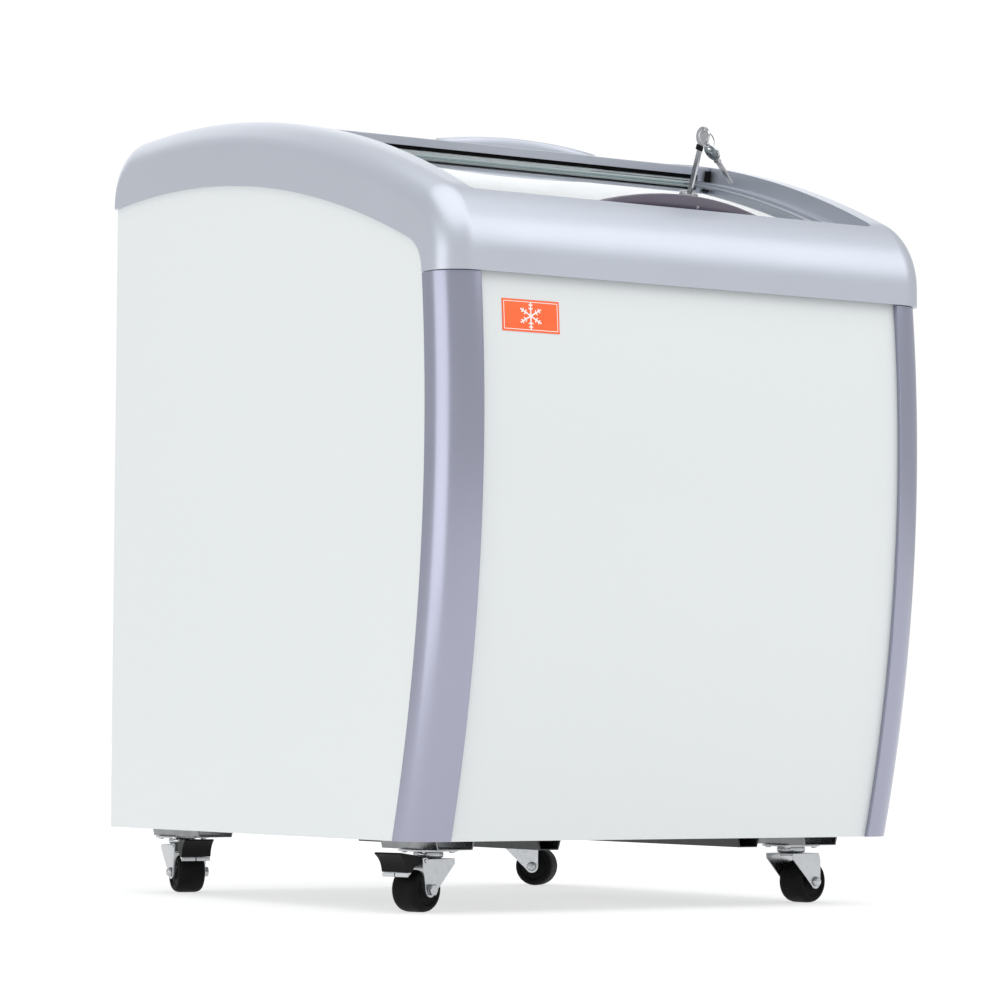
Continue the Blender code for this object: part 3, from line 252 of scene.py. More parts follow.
FINISHES = (  # name, low colour, high colour, roughness, metallic, coat, scale, grain, depth, specular
    ("white_steel", (0.690, 0.718, 0.722), (0.700, 0.726, 0.730), (0.30, 0.32), 0.0, 0.15, 1.5, 700, 8e-6),
    ("silver_plastic", (0.500, 0.528, 0.590), (0.515, 0.543, 0.605), (0.36, 0.39), 0.7, 0.1, 3, 1500, 8e-6),
    # painted shade: the pillars are the frame's silver plastic, drawn with this darker copy for the shade on
    # them
    ("pillar_plastic", (0.350, 0.358, 0.445), (0.362, 0.370, 0.457), (0.24, 0.27), 0.9, 0, 3, 1500, 6e-6),
    # painted shade: a darker copy of the handle plastic for the front grip, which is the same moulding as the
    # light rear grip
    ("dark_plastic", (0.105, 0.090, 0.125), (0.130, 0.115, 0.150), (0.28, 0.36), 0.2, 0.3, 14, 1500, 2e-5),
    ("black_plastic", (0.004, 0.004, 0.004), (0.007, 0.007, 0.008), (0.34, 0.46), 0, 0, 30, 1800, 2e-5, 0.12),
    ("black_rubber", (0.004, 0.004, 0.004), (0.009, 0.009, 0.009), (0.50, 0.62), 0, 0, 60, 1600, 3e-5, 0.08),
    ("zinc", (0.520, 0.535, 0.550), (0.570, 0.582, 0.595), (0.22, 0.30), 1, 0, 30, 900, 1e-5),
    ("chrome", (0.480, 0.485, 0.500), (0.560, 0.565, 0.575), (0.10, 0.20), 1, 0, 90, 2200, 1e-5),
    # painted shade: a darker copy of zinc and chrome for the caster brackets and the lock collar
    ("bracket_steel", (0.200, 0.207, 0.214), (0.300, 0.308, 0.316), (0.20, 0.32), 1, 0, 25, 900, 2e-5),
    ("galvanised", (0.440, 0.458, 0.475), (0.500, 0.515, 0.530), (0.36, 0.46), 0.9, 0, 45, 500, 2e-5),
    ("foam", (0.780, 0.700, 0.480), (0.860, 0.790, 0.580), (0.80, 0.95), 0, 0, 40, 600, 3e-4),
    ("copper", (0.600, 0.280, 0.160), (0.720, 0.380, 0.240), (0.24, 0.42), 1, 0, 60, 900, 2e-5),
    ("black_paint", (0.014, 0.014, 0.015), (0.026, 0.026, 0.028), (0.32, 0.48), 0, 0.1, 25, 900, 3e-5),
    ("fin_metal", (0.600, 0.610, 0.620), (0.720, 0.725, 0.730), (0.30, 0.46), 1, 0, 60, 900, 2e-5),
    ("orange_film", (0.880, 0.115, 0.020), (0.930, 0.140, 0.028), (0.30, 0.40), 0, 0.2, 40, 1500, 1e-5),
    ("white_print", (0.860, 0.860, 0.850), (0.900, 0.900, 0.890), (0.35, 0.45), 0, 0, 60, 1500, 1e-5),
    ("glass_edge", (0.400, 0.560, 0.570), (0.460, 0.610, 0.620), (0.15, 0.20), 0, 0, 20, 900, 1e-5),
    # painted highlight: black rubber gasket lips drawn pale for the light lines along them
    ("pale_gasket", (0.620, 0.680, 0.690), (0.680, 0.740, 0.750), (0.30, 0.40), 0, 0, 30, 900, 1e-5),
)
MATERIALS = {finish[0]: surface(*finish) for finish in FINISHES}
MATERIALS["liner_metal"] = liner_material()
MATERIALS["glass"] = glass_material()


# ---------------------------------------------------------------- shape helpers
def spread(low, high, steps):
    """Evenly spaced values from low to high, with both ends."""
    return [low + (high - low) * i / steps for i in range(steps + 1)]


def circle_angles(count):
    return [2 * math.pi * i / count for i in range(count)]


def turn(axis, degrees):
    return Matrix.Rotation(math.radians(degrees), 4, axis)


def link(obj):
    bpy.context.scene.collection.objects.link(obj)
    return obj


def mesh_object(name, bm, place=None):
    bmesh.ops.recalc_face_normals(bm, faces=bm.faces)
    mesh = bpy.data.meshes.new(name)
    bm.to_mesh(mesh)
    bm.free()
    obj = bpy.data.objects.new(name, mesh)
    if place is not None:
        obj.matrix_world = place
    return obj


def piece(obj, body, slot, replaces=(), finish=None, bevel=0.0, segments=2, angle=32, weighted=True):
    """Links a finished mesh, gives it its finish and soft edges, and rides it on a CAD body."""
    link(obj)
    obj.data.materials.clear()
    obj.data.materials.append(MATERIALS[finish or slot])
    obj.data.shade_smooth()
    if bevel:
        edge = obj.modifiers.new("bevel", "BEVEL")
        edge.width = bevel
        edge.segments = segments
        edge.limit_method = "ANGLE"
        edge.angle_limit = math.radians(angle)
        edge.use_clamp_overlap = True
    else:
        obj.data.set_sharp_from_angle(angle=math.radians(angle))
    if weighted:
        normals = obj.modifiers.new("normals", "WEIGHTED_NORMAL")
        normals.keep_sharp = True
        normals.weight = 60
    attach(obj, body)
    if replaces:
        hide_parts(*([replaces] if isinstance(replaces, str) else replaces))
    return obj


def applied(obj):
    """The object's evaluated mesh as a new object, with its transform applied and its modifiers gone."""
    if not obj.users_collection:
        link(obj)
    bpy.context.view_layer.update()
    graph = bpy.context.evaluated_depsgraph_get()
    mesh = bpy.data.meshes.new_from_object(obj.evaluated_get(graph))
    mesh.transform(obj.matrix_world)
    name = obj.name
    bpy.data.objects.remove(obj)
    return bpy.data.objects.new(name, mesh)


def cut(obj, *others, operation="DIFFERENCE"):
    """Cuts or joins solids into obj at once, and returns the finished mesh object."""
    link(obj)
    for other in others:
        link(other)
        step = obj.modifiers.new(operation.lower(), "BOOLEAN")
        step.operation = operation
        step.solver = "EXACT"
        step.object = other
    done = applied(obj)
    for other in others:
        bpy.data.objects.remove(other)
    return done


def join(name, objects):
    """Several meshes as one object, without merging them."""
    bm = bmesh.new()
    for obj in objects:
        done = applied(obj)
        bm.from_mesh(done.data)
        bpy.data.objects.remove(done)
    return mesh_object(name, bm)


PLANES = {
    "YZ": Matrix(((0, 0, 1, 0), (1, 0, 0, 0), (0, 1, 0, 0), (0, 0, 0, 1))),
    "XZ": Matrix(((1, 0, 0, 0), (0, 0, -1, 0), (0, 1, 0, 0), (0, 0, 0, 1))),
    "XY": Matrix.Identity(4),
}


def prism(name, outlines, plane, low, high, place=None):
    """A flat outline, with any holes, extruded from low to high. In the XZ plane it runs along -Y."""
    if not isinstance(outlines[0][0], (tuple, list, Vector)):
        outlines = [outlines]
    curve = bpy.data.curves.new(name, "CURVE")
    curve.dimensions = "2D"
    curve.fill_mode = "BOTH"
    curve.extrude = (high - low) / 2
    for outline in outlines:
        spline = curve.splines.new("POLY")
        spline.points.add(len(outline) - 1)
        for point, (x, y) in zip(spline.points, outline):
            point.co = (x, y, 0, 1)
        spline.use_cyclic_u = True
    obj = link(bpy.data.objects.new(name, curve))
    middle = Matrix.Translation((0, 0, (low + high) / 2))
    obj.matrix_world = (place or Matrix.Identity(4)) @ PLANES[plane] @ middle
    solid = applied(obj)
    bm = bmesh.new()
    bm.from_mesh(solid.data)
    bpy.data.objects.remove(solid)
    bmesh.ops.remove_doubles(bm, verts=bm.verts, dist=0.00001)
    merge_flat(bm)
    return mesh_object(name, bm)


def merge_flat(bm):
    """Makes one face of each flat group of triangles that a curve's filled cap leaves."""
    bm.normal_update()
    caps = {}
    for face in bm.faces:
        if len(face.verts) == 3:
            normal = tuple(round(n, 3) for n in face.normal)
            level = round(face.normal.dot(face.verts[0].co), 5)
            caps.setdefault((normal, level), []).append(face)
    for faces in caps.values():
        if len(faces) > 1:
            bmesh.ops.dissolve_faces(bm, faces=faces)


def box(name, low, high, place=None):
    bm = bmesh.new()
    bmesh.ops.create_cube(bm, size=1.0)
    bmesh.ops.scale(bm, vec=[b - a for a, b in zip(low, high)], verts=bm.verts)
    bmesh.ops.translate(bm, vec=[(a + b) / 2 for a, b in zip(low, high)], verts=bm.verts)
    if place is not None:
        bm.transform(place)
    return mesh_object(name, bm)


def rod(name, radius, start, end, segments=32):
    start = Vector(start)
    end = Vector(end)
    bm = bmesh.new()
    length = (end - start).length
    bmesh.ops.create_cone(bm, cap_ends=True, segments=segments, radius1=radius, radius2=radius, depth=length)
    aim = (end - start).to_track_quat("Z", "Y").to_matrix().to_4x4()
    bm.transform(Matrix.Translation((start + end) / 2) @ aim)
    return mesh_object(name, bm)


def rod_in(place, name, radius, start, end, segments=32):
    """A rod whose ends are given in a frame of its own."""
    return rod(name, radius, place @ Vector(start), place @ Vector(end), segments)


def skin(bm, rings, closed):
    """Faces between each ring of vertices and the next. A ring can be one vertex, repeated."""
    count = len(rings[0])
    pairs = list(zip(rings, rings[1:]))
    if closed:
        pairs.append((rings[-1], rings[0]))
    for a, b in pairs:
        for i in range(count):
            j = (i + 1) % count
            corners = list(dict.fromkeys((a[i], a[j], b[j], b[i])))
            if len(corners) > 2:
                bm.faces.new(corners)


def turned(name, profile, place, steps=64):
    """A (radius, height) profile turned about Z. One that ends where it starts makes a ring."""
    closed = profile[0] == profile[-1]
    bm = bmesh.new()
    rings = []
    for radius, height in profile[:-1] if closed else profile:
        if radius < 1e-7:
            rings.append([bm.verts.new((0, 0, height))] * steps)
        else:
            circle = [(radius * math.cos(a), radius * math.sin(a), height) for a in circle_angles(steps)]
            rings.append([bm.verts.new(point) for point in circle])
    skin(bm, rings, closed)
    bm.transform(place)
    return mesh_object(name, bm)


def sweep(name, rings, closed=False):
    """A solid through a list of rings of points, each with the same count, with its ends filled."""
    bm = bmesh.new()
    made = [[bm.verts.new(p) for p in ring] for ring in rings]
    skin(bm, made, closed)
    if not closed:
        bm.faces.new(made[0])
        bm.faces.new(made[-1])
    return mesh_object(name, bm)


def tube(name, points, radius, sides=12, closed=False):
    """A round tube along points, with its rings carried along so that they don't twist."""
    points = [Vector(p) for p in points]
    count = len(points)
    normal = None
    rings = []
    for i, point in enumerate(points):
        ahead = points[(i + 1) % count] if closed or i + 1 < count else point
        behind = points[i - 1] if closed or i > 0 else point
        along = (ahead - behind).normalized()
        if normal is None:
            normal = along.orthogonal().normalized()
        normal = (normal - along * normal.dot(along)).normalized()
        side = along.cross(normal)
        around = [normal * math.cos(a) + side * math.sin(a) for a in circle_angles(sides)]
        rings.append([point + offset * radius for offset in around])
    return sweep(name, rings, closed)


def arc(centre, radius, start_deg, end_deg, steps):
    angles = [math.radians(degrees) for degrees in spread(start_deg, end_deg, steps)]
    return [(centre[0] + radius * math.cos(a), centre[1] + radius * math.sin(a)) for a in angles]


def round_hole(centre, radius, steps=24):
    return arc(centre, radius, 0, 360 - 360 / steps, steps - 1)


def rounded_rectangle(low, high, radius, steps=6):
    """A rectangle's outline with round corners, from its lowest and highest corner."""
    (x0, y0), (x1, y1) = low, high
    points = []
    for cx, cy, start in ((x1 - radius, y0 + radius, 270), (x1 - radius, y1 - radius, 0),
                          (x0 + radius, y1 - radius, 90), (x0 + radius, y0 + radius, 180)):
        points += arc((cx, cy), radius, start, start + 90, steps)
    return points


def arch_point(radius, degrees):
    a = math.radians(degrees)
    return ARCH_Y - radius * math.sin(a), ARCH_Z + radius * math.cos(a)


def arch_arc(radius, back_deg, front_deg, steps):
    return [arch_point(radius, degrees) for degrees in spread(back_deg, front_deg, steps)]


def arch_slab(name, inner, outer, back_deg, front_deg, low_x, high_x, steps=64):
    """A curved bar of the top arch between two radii, two angles and two x."""
    outline = arch_arc(outer, back_deg, front_deg, steps)
    outline += reversed(arch_arc(inner, back_deg, front_deg, steps))
    return prism(name, outline, "YZ", low_x, high_x)


def arch_sweep(name, sections):
    """A solid through (angle, [(x, radius), ...]) sections along the arch."""
    rings = []
    for degrees, section in sections:
        rings.append([(x, *arch_point(radius, degrees)) for x, radius in section])
    return sweep(name, rings)


def arch_frame(degrees, x=0.0, radius=0.0):
    y, z = arch_point(radius, degrees)
    return Matrix.Translation((x, y, z)) @ turn("X", degrees)


def front_y(z):
    return BOW_FRONT_Y + BOW_RADIUS - math.sqrt(BOW_RADIUS**2 - (z - BOW_MIDDLE_Z) ** 2)


def side_arch_z(y, lift=0.0):
    return SIDE_ARCH_Z + math.sqrt((SIDE_ARCH_RADIUS + lift) ** 2 - (y - ARCH_Y) ** 2)


def bowed(name, section, low, high, steps=56):
    """An upright bar whose plan section, (x, depth behind the front), follows the bowed front."""
    rings = [[(x, front_y(z) + depth, z) for x, depth in section] for z in spread(low, high, steps)]
    return sweep(name, rings)


def on_front(name, outline, near, far):
    """A flat outline (x, z) laid on the bowed front, between two depths behind it."""
    return sweep(name, [[(x, front_y(z) + depth, z) for x, z in outline] for depth in (near, far)])


def mirrored(points):
    return [(-x, y) for x, y in reversed(points)]


# ---------------------------------------------------------------- top frame
def top_outline():
    """Side outline of the top frame."""
    back_centre_y = FRAME_BACK_Y - FRAME_BACK_ROUND
    reach = ARCH_RADIUS - FRAME_BACK_ROUND
    back_centre_z = ARCH_Z + math.sqrt(reach**2 - (back_centre_y - ARCH_Y) ** 2)
    back_deg = math.degrees(math.asin((back_centre_y - ARCH_Y) / reach))
    front_centre_y = FRONT_Y + FRAME_FRONT_ROUND
    reach = ARCH_RADIUS - FRAME_FRONT_ROUND
    front_centre_z = ARCH_Z + math.sqrt(reach**2 - (front_centre_y - ARCH_Y) ** 2)
    front_deg = math.degrees(math.asin((ARCH_Y - front_centre_y) / reach))
    points = [(FRAME_BACK_Y, side_arch_z(FRAME_BACK_Y))]
    points += arc((back_centre_y, back_centre_z), FRAME_BACK_ROUND, 0, 90 - back_deg, 14)
    points += arch_arc(ARCH_RADIUS, -back_deg, front_deg, 64)[1:]
    points += arc((front_centre_y, front_centre_z), FRAME_FRONT_ROUND, 90 + front_deg, 180, 24)[1:]
    points.append((FRONT_Y, SEAM_Z))
    side_edge = front_y(SEAM_Z) + PILLAR_SIDE
    points.append((side_edge, SEAM_Z))
    corner_centre = (side_edge + SIDE_CORNER_ROUND, SEAM_Z + 0.0003)
    points += arc(corner_centre, SIDE_CORNER_ROUND, 179, 112, 12)
    first = points[-1][0]
    points += [(y, side_arch_z(y)) for y in spread(first, FRAME_BACK_Y, 44)[1:-1]]
    return points


def rounding_width(middle):
    back_centre_y = FRAME_BACK_Y - FRAME_BACK_ROUND
    if middle.y < back_centre_y:
        return FRAME_EDGE_ROUND
    reach = math.sqrt((ARCH_RADIUS - FRAME_BACK_ROUND) ** 2 - (back_centre_y - ARCH_Y) ** 2)
    up = (middle.z - ARCH_Z - reach) / FRAME_BACK_ROUND
    return FRAME_BACK_EDGE + (FRAME_EDGE_ROUND - FRAME_BACK_EDGE) * min(max(up, 0.0), 1.0)


def frame_block(name, segments, width=FRAME_EDGE_ROUND):
    """The outside of the top frame, with its long edges rounded."""
    half_x = WIDTH / 2
    block = prism(name, top_outline(), "YZ", -half_x, half_x)
    bm = bmesh.new()
    bm.from_mesh(block.data)
    weights = bm.edges.layers.float.new("bevel_weight_edge")
    for edge in bm.edges:
        a, b = (v.co for v in edge.verts)
        on_side = abs(abs(a.x) - half_x) < 1e-5 and abs(a.x - b.x) < 1e-5
        lowest = all(p.z < side_arch_z(p.y) + 2e-4 for p in (a, b))
        if on_side and not lowest:
            edge[weights] = rounding_width((a + b) / 2) / width
    bm.to_mesh(block.data)
    bm.free()
    rounding = block.modifiers.new("round", "BEVEL")
    rounding.width = width
    rounding.segments = segments
    rounding.limit_method = "WEIGHT"
    return applied(block)


def make_top_frame():
    """The moulding is solid here where only its hidden inside would differ from the CAD's shell."""
    track = lid_track()
    throat = box("throat", (-THROAT_X, THROAT_FRONT_Y, 0.50), (THROAT_X, THROAT_BACK_Y, 0.95))
    front = THROAT_FRONT_Y - FRAME_WALL
    back = THROAT_BACK_Y + FRAME_WALL
    below = [(y, ARCH_Z + math.sqrt(1.289**2 - (y - ARCH_Y) ** 2)) for y in spread(front, back, 32)]
    below = [(front, 0.50)] + below + [(back, 0.50)]
    liner_room = prism("liner_room", below, "YZ", -0.2345, 0.2345)
    gap_low = (-PILLAR_INNER_X, FRONT_Y + FRAME_WALL, 0.50)
    gap = box("panel_gap", gap_low, (PILLAR_INNER_X, FRONT_Y + 0.012, SEAM_Z + 0.010))
    slot_y, slot_z = arch_point(1.3006, LOCK_DEG)
    slot = box("slot", (LOCK_X - 0.009, slot_y - 0.0215, slot_z - 0.0120), (LOCK_X + 0.027, slot_y, slot_z))
    cutters = [track, throat, liner_room, gap, slot]
    block = cut(frame_block("top_frame_moulding", 14), *cutters)
    piece(block, "cabinet", "silver_plastic", "top_frame", bevel=0.0007, segments=2, angle=38)


def lid_track():
    """What the two lids' tracks take out of the moulding, with a fine groove along each upper track."""
    corner = 0.0070
    corner_deg = math.degrees(corner / UPPER_LEDGE_RADIUS)
    start = OPENING_FRONT_DEG - corner_deg
    stops = [(degrees, 0.0) for degrees in spread(OPENING_BACK_DEG, start, 64)]
    for a in spread(0, math.pi / 2, 8)[1:]:
        stops.append((start + corner_deg * math.sin(a), corner * (1 - math.cos(a))))
    sections = []
    for degrees, inset in stops:
        half = [(RAIL_INNER_X - inset, 1.40), (RAIL_INNER_X - inset, UPPER_LEDGE_RADIUS)]
        half += [(GROOVE_OUTER_X, UPPER_LEDGE_RADIUS), (GROOVE_OUTER_X, GROOVE_RADIUS)]
        half += [(GROOVE_INNER_X, GROOVE_RADIUS), (GROOVE_INNER_X, UPPER_LEDGE_RADIUS)]
        half += [(LOWER_LEDGE_X, UPPER_LEDGE_RADIUS), (LOWER_LEDGE_X, LOWER_LEDGE_RADIUS)]
        sections.append((degrees, half + mirrored(half)))
    return arch_sweep("lid_track", sections)


# ---------------------------------------------------------------- cabinet shell
def make_side_panels():
    setback = PILLAR_SIDE - TUCK
    top_z = SEAM_Z + 0.004
    outline = [(front_y(z) + setback, z) for z in spread(CABINET_BOTTOM_Z, top_z, 48)]
    corner_centre = (outline[-1][0] + SIDE_CORNER_ROUND, top_z + 0.001)
    outline += arc(corner_centre, SIDE_CORNER_ROUND, 178, 112, 10)
    outline += [(y, side_arch_z(y, TUCK)) for y in spread(outline[-1][0], BACK_Y, 39)[1:]]
    outline.append((BACK_Y, CABINET_BOTTOM_Z))
    for side, name in ((-1, "left"), (1, "right")):
        low, high = sorted((side * SIDE_PANEL_X, side * (SIDE_PANEL_X - SHEET)))
        panel = prism(f"side_sheet_{name}", outline, "YZ", low, high)
        piece(panel, "cabinet", "white_steel", f"side_panel_{name}", bevel=0.0004)


def make_pillars():
    half = WIDTH / 2
    centre = (half - PILLAR_ROUND, PILLAR_ROUND)
    lip = 0.0055
    edge = 0.0009
    section = [(PILLAR_INNER_X, lip), (PILLAR_INNER_X, edge)]
    section += [(PILLAR_INNER_X + edge * 0.3, edge * 0.3), (PILLAR_INNER_X + edge, 0.0)]
    section += arc(centre, PILLAR_ROUND, 270, 360, 28)
    section += [(half, PILLAR_SIDE - edge), (half - edge * 0.3, PILLAR_SIDE - edge * 0.3)]
    section += [(half - edge, PILLAR_SIDE), (half - PILLAR_WALL, PILLAR_SIDE)]
    section += arc(centre, PILLAR_ROUND - PILLAR_WALL, 360, 270, 20)
    section += [(PILLAR_INNER_X + PILLAR_WALL, PILLAR_WALL), (PILLAR_INNER_X + PILLAR_WALL, lip)]
    for name, plan in (("right", section), ("left", mirrored(section))):
        pillar = bowed(f"pillar_{name}", plan, CABINET_BOTTOM_Z, SEAM_Z - 0.0006)
        # The pillars take a darker copy of the silver plastic: painted shade.
        piece(pillar, "cabinet", "silver_plastic", f"corner_pillar_{name}", "pillar_plastic", angle=50)


def make_front_panel():
    recess = 0.0060
    half = PILLAR_INNER_X + 0.004
    section = [(-half, recess), (half, recess), (half, recess + SHEET), (-half, recess + SHEET)]
    panel = bowed("front_sheet", section, CABINET_BOTTOM_Z, SEAM_Z + 0.012, 72)
    piece(panel, "cabinet", "white_steel", "front_panel")


def make_back_panel():
    half = SIDE_PANEL_X - SHEET - GAP
    low = 0.3125
    top = side_arch_z(FRAME_BACK_Y) + TUCK
    outline = [(-half, low), (half, low), (half, top), (-half, top)]
    back = prism("back_sheet", outline, "XZ", -BACK_Y, -(BACK_Y - SHEET))
    piece(back, "cabinet", "white_steel", "back_panel", bevel=0.0004)
    for column, x in enumerate((-0.262, 0.0, 0.262)):
        for row, z in enumerate((0.322, 0.735)):
            at = Vector((x, BACK_Y + GAP, z))
            make_screw(f"back_screw_{column}_{row}", at, Vector((0, 1, 0)), 0.0042, "cabinet")


def make_screw(name, place, outward, radius, body, slot="zinc"):
    """A pan-head screw with a cross recess."""
    at = Matrix.Translation(place) @ outward.to_track_quat("Z", "Y").to_matrix().to_4x4()
    high = radius * 0.45
    dome = ((0.0, 1.0), (0.45, 0.97), (0.75, 0.8), (0.95, 0.45), (1.0, 0.0), (0.0, 0.0))
    profile = [(radius * across, high * up) for across, up in dome]
    head = turned(name, profile, at, 24)
    slots = []
    for across, along in ((0.11, 0.5), (0.5, 0.11)):
        slots.append(box("recess", (-radius * across, -radius * along, high * 0.45),
                         (radius * across, radius * along, high * 2), at))
    head = cut(head, *slots)
    piece(head, body, slot, angle=30)


def make_label():
    """An orange sticker with a plain snow crystal."""
    x0, z0 = LABEL_LOW
    x1, z1 = LABEL_HIGH
    near = 0.0056
    far = near + GAP
    section = [(x0, near), (x1, near), (x1, far), (x0, far)]
    piece(bowed("label_film", section, z0, z1, 10), "cabinet", "orange_film", "front_label")

    parts = []
    middle = Vector(((x0 + x1) / 2, (z0 + z1) / 2))
    front = near - 0.00015

    def bar(a, b, half_width):
        a = Vector(a)
        b = Vector(b)
        side = (b - a).normalized().orthogonal() * half_width
        corners = [a + side, b + side, b - side, a - side]
        parts.append(on_front("bar", [tuple(middle + c) for c in corners], front, near - 0.00002))

    for i in range(6):
        a = math.radians(30 + 60 * i)
        ray = Vector((math.cos(a), math.sin(a)))
        bar((0, 0), ray * 0.0135, 0.00065)
        for distance, length in ((0.0062, 0.0030), (0.0098, 0.0026)):
            for lean in (-60, 60):
                b = a + math.radians(lean)
                foot = ray * distance
                bar(foot, foot + Vector((math.cos(b), math.sin(b))) * length, 0.0005)
    edge_x = (x1 - x0) / 2 - 0.0022
    edge_z = (z1 - z0) / 2 - 0.0022
    corners = [(-edge_x, -edge_z), (edge_x, -edge_z), (edge_x, edge_z), (-edge_x, edge_z)]
    for a, b in zip(corners, corners[1:] + corners[:1]):
        bar(a, b, 0.00030)
    crystal = join("label_snow_crystal", parts)
    piece(crystal, "cabinet", "orange_film", finish="white_print", weighted=False)


def make_grille():
    """Rear grille with pressed louvres."""
    half = SIDE_PANEL_X - SHEET - GAP
    low = CABINET_BOTTOM_Z + 0.008
    outlines = [[(-half, low), (half, low), (half, 0.3118), (-half, 0.3118)]]
    hoods = []
    for x in (-0.150, 0.150):
        for row in range(9):
            z = 0.112 + 0.018 * row
            outlines.append(rounded_rectangle((x - 0.095, z), (x + 0.095, z + 0.006), 0.0029, 4))
            section = [(0.3415, z + 0.0088), (0.3436, z + 0.0078), (0.3450, z + 0.0055), (0.3452, z + 0.0030),
                       (0.3446, z + 0.0030), (0.3444, z + 0.0052), (0.3432, z + 0.0072), (0.3415, z + 0.0080)]
            hoods.append(prism("hood", section, "YZ", x - 0.094, x + 0.094))
    outlines.append(round_hole(LEAD_INLET, 0.0085, 48))
    outlines.append(round_hole((0.0, DIAL_Z), 0.0045))
    sheet = prism("grille_sheet", outlines, "XZ", -0.3412, -0.3400)
    piece(sheet, "cabinet", "galvanised", "rear_grille", angle=30, weighted=False)
    piece(join("grille_hoods", hoods), "cabinet", "galvanised", angle=40, weighted=False)
    screws = ((-0.275, 0.125), (0.275, 0.090), (-0.275, 0.296), (0.0, 0.296), (0.275, 0.296))
    for number, (x, z) in enumerate(screws):
        at = Vector((x, 0.3414, z))
        make_screw(f"grille_screw_{number}", at, Vector((0, 1, 0)), 0.0036, "cabinet")
    make_dial()
    point_back = back_facing(*LEAD_INLET)
    profile = [(0.0040, 0.3538), (0.0044, 0.3540), (0.0086, 0.3540), (0.0092, 0.3534), (0.0120, 0.3474),
               (0.0120, 0.3416), (0.0080, 0.3416), (0.0080, 0.3320), (0.0040, 0.3320), (0.0040, 0.3538)]
    piece(turned("lead_inlet_bush", profile, point_back, 48), "cabinet", "black_plastic", "mains_lead_inlet",
          angle=35)


def back_facing(x, z):
    """The frame of a part that is turned about an axis towards the back, with heights as world y."""
    return Matrix.Translation((x, 0.0, z)) @ turn("X", -90)


def make_dial():
    """The thermostat's fluted knob with its pointer mark."""
    point_back = back_facing(0.0, DIAL_Z)
    profile = [(0.0, 0.3535), (0.0100, 0.3535), (0.0112, 0.3532), (0.0118, 0.3524), (0.0120, 0.3500),
               (0.0136, 0.3450), (0.0150, 0.3430), (0.0150, 0.3416), (0.0040, 0.3416), (0.0040, 0.3300),
               (0.0, 0.3300)]
    dial = turned("thermostat_knob", profile, point_back, 72)
    cutters = []
    wide = 0.0152
    narrow = wide * 0.90
    for a in circle_angles(24):
        foot = (wide * math.sin(a), 0.3432, DIAL_Z + wide * math.cos(a))
        end = (narrow * math.sin(a), 0.36, DIAL_Z + narrow * math.cos(a))
        cutters.append(rod("flute", 0.0012, foot, end, 10))
    cutters.append(box("mark", (-0.0006, 0.3531, DIAL_Z + 0.003), (0.0006, 0.36, DIAL_Z + 0.0105)))
    piece(cut(dial, *cutters), "thermostat_dial", "black_plastic", "thermostat_dial", angle=35)


def make_liner():
    """The liner as one sheet, with its sloped front and its step over the machine room."""
    def outline(grow):
        front = LINER_FRONT_Y - grow
        middle = LINER_STEP_Y + grow
        back = LINER_BACK_Y + grow
        floor = LINER_FLOOR_Z - grow
        step = LINER_STEP_Z - grow
        slope = 0.023
        points = [(front, 0.90), (front, 0.300), (front + slope, floor), (middle, floor)]
        return points + [(middle, step), (back, step), (back, 0.90)]
    shell = prism("liner_pressing", outline(0.0), "YZ", -LINER_X, LINER_X)
    inside = prism("inside", outline(-LINER_WALL), "YZ", LINER_WALL - LINER_X, LINER_X - LINER_WALL)
    top = arch_slab("top", LINER_TOP_RADIUS, 1.60, -14, 30, -0.30, 0.30)
    piece(cut(shell, top, inside), "cabinet", "liner_metal", "inner_liner", bevel=0.0009)


# ---------------------------------------------------------------- lids
def lid_cutters(name, bounds):
    back, front, open_x, glass_bottom = bounds
    opening = arch_slab(name + "_opening", 1.29, 1.36, back, front, -open_x, open_x)
    wide = open_x + 0.0045
    rabbet = arch_slab(name + "_rabbet", glass_bottom - GAP, 1.36, back - 0.2, front + 0.17, -wide, wide)
    return opening, rabbet


def glass_pane(name, bounds, body, node):
    back, front, open_x, glass_bottom = bounds
    half = open_x + 0.0042
    pane = arch_slab(name, glass_bottom, glass_bottom + GLASS, back - 0.18, front + 0.13, -half, half)
    piece(pane, body, "glass", node, bevel=0.0005)


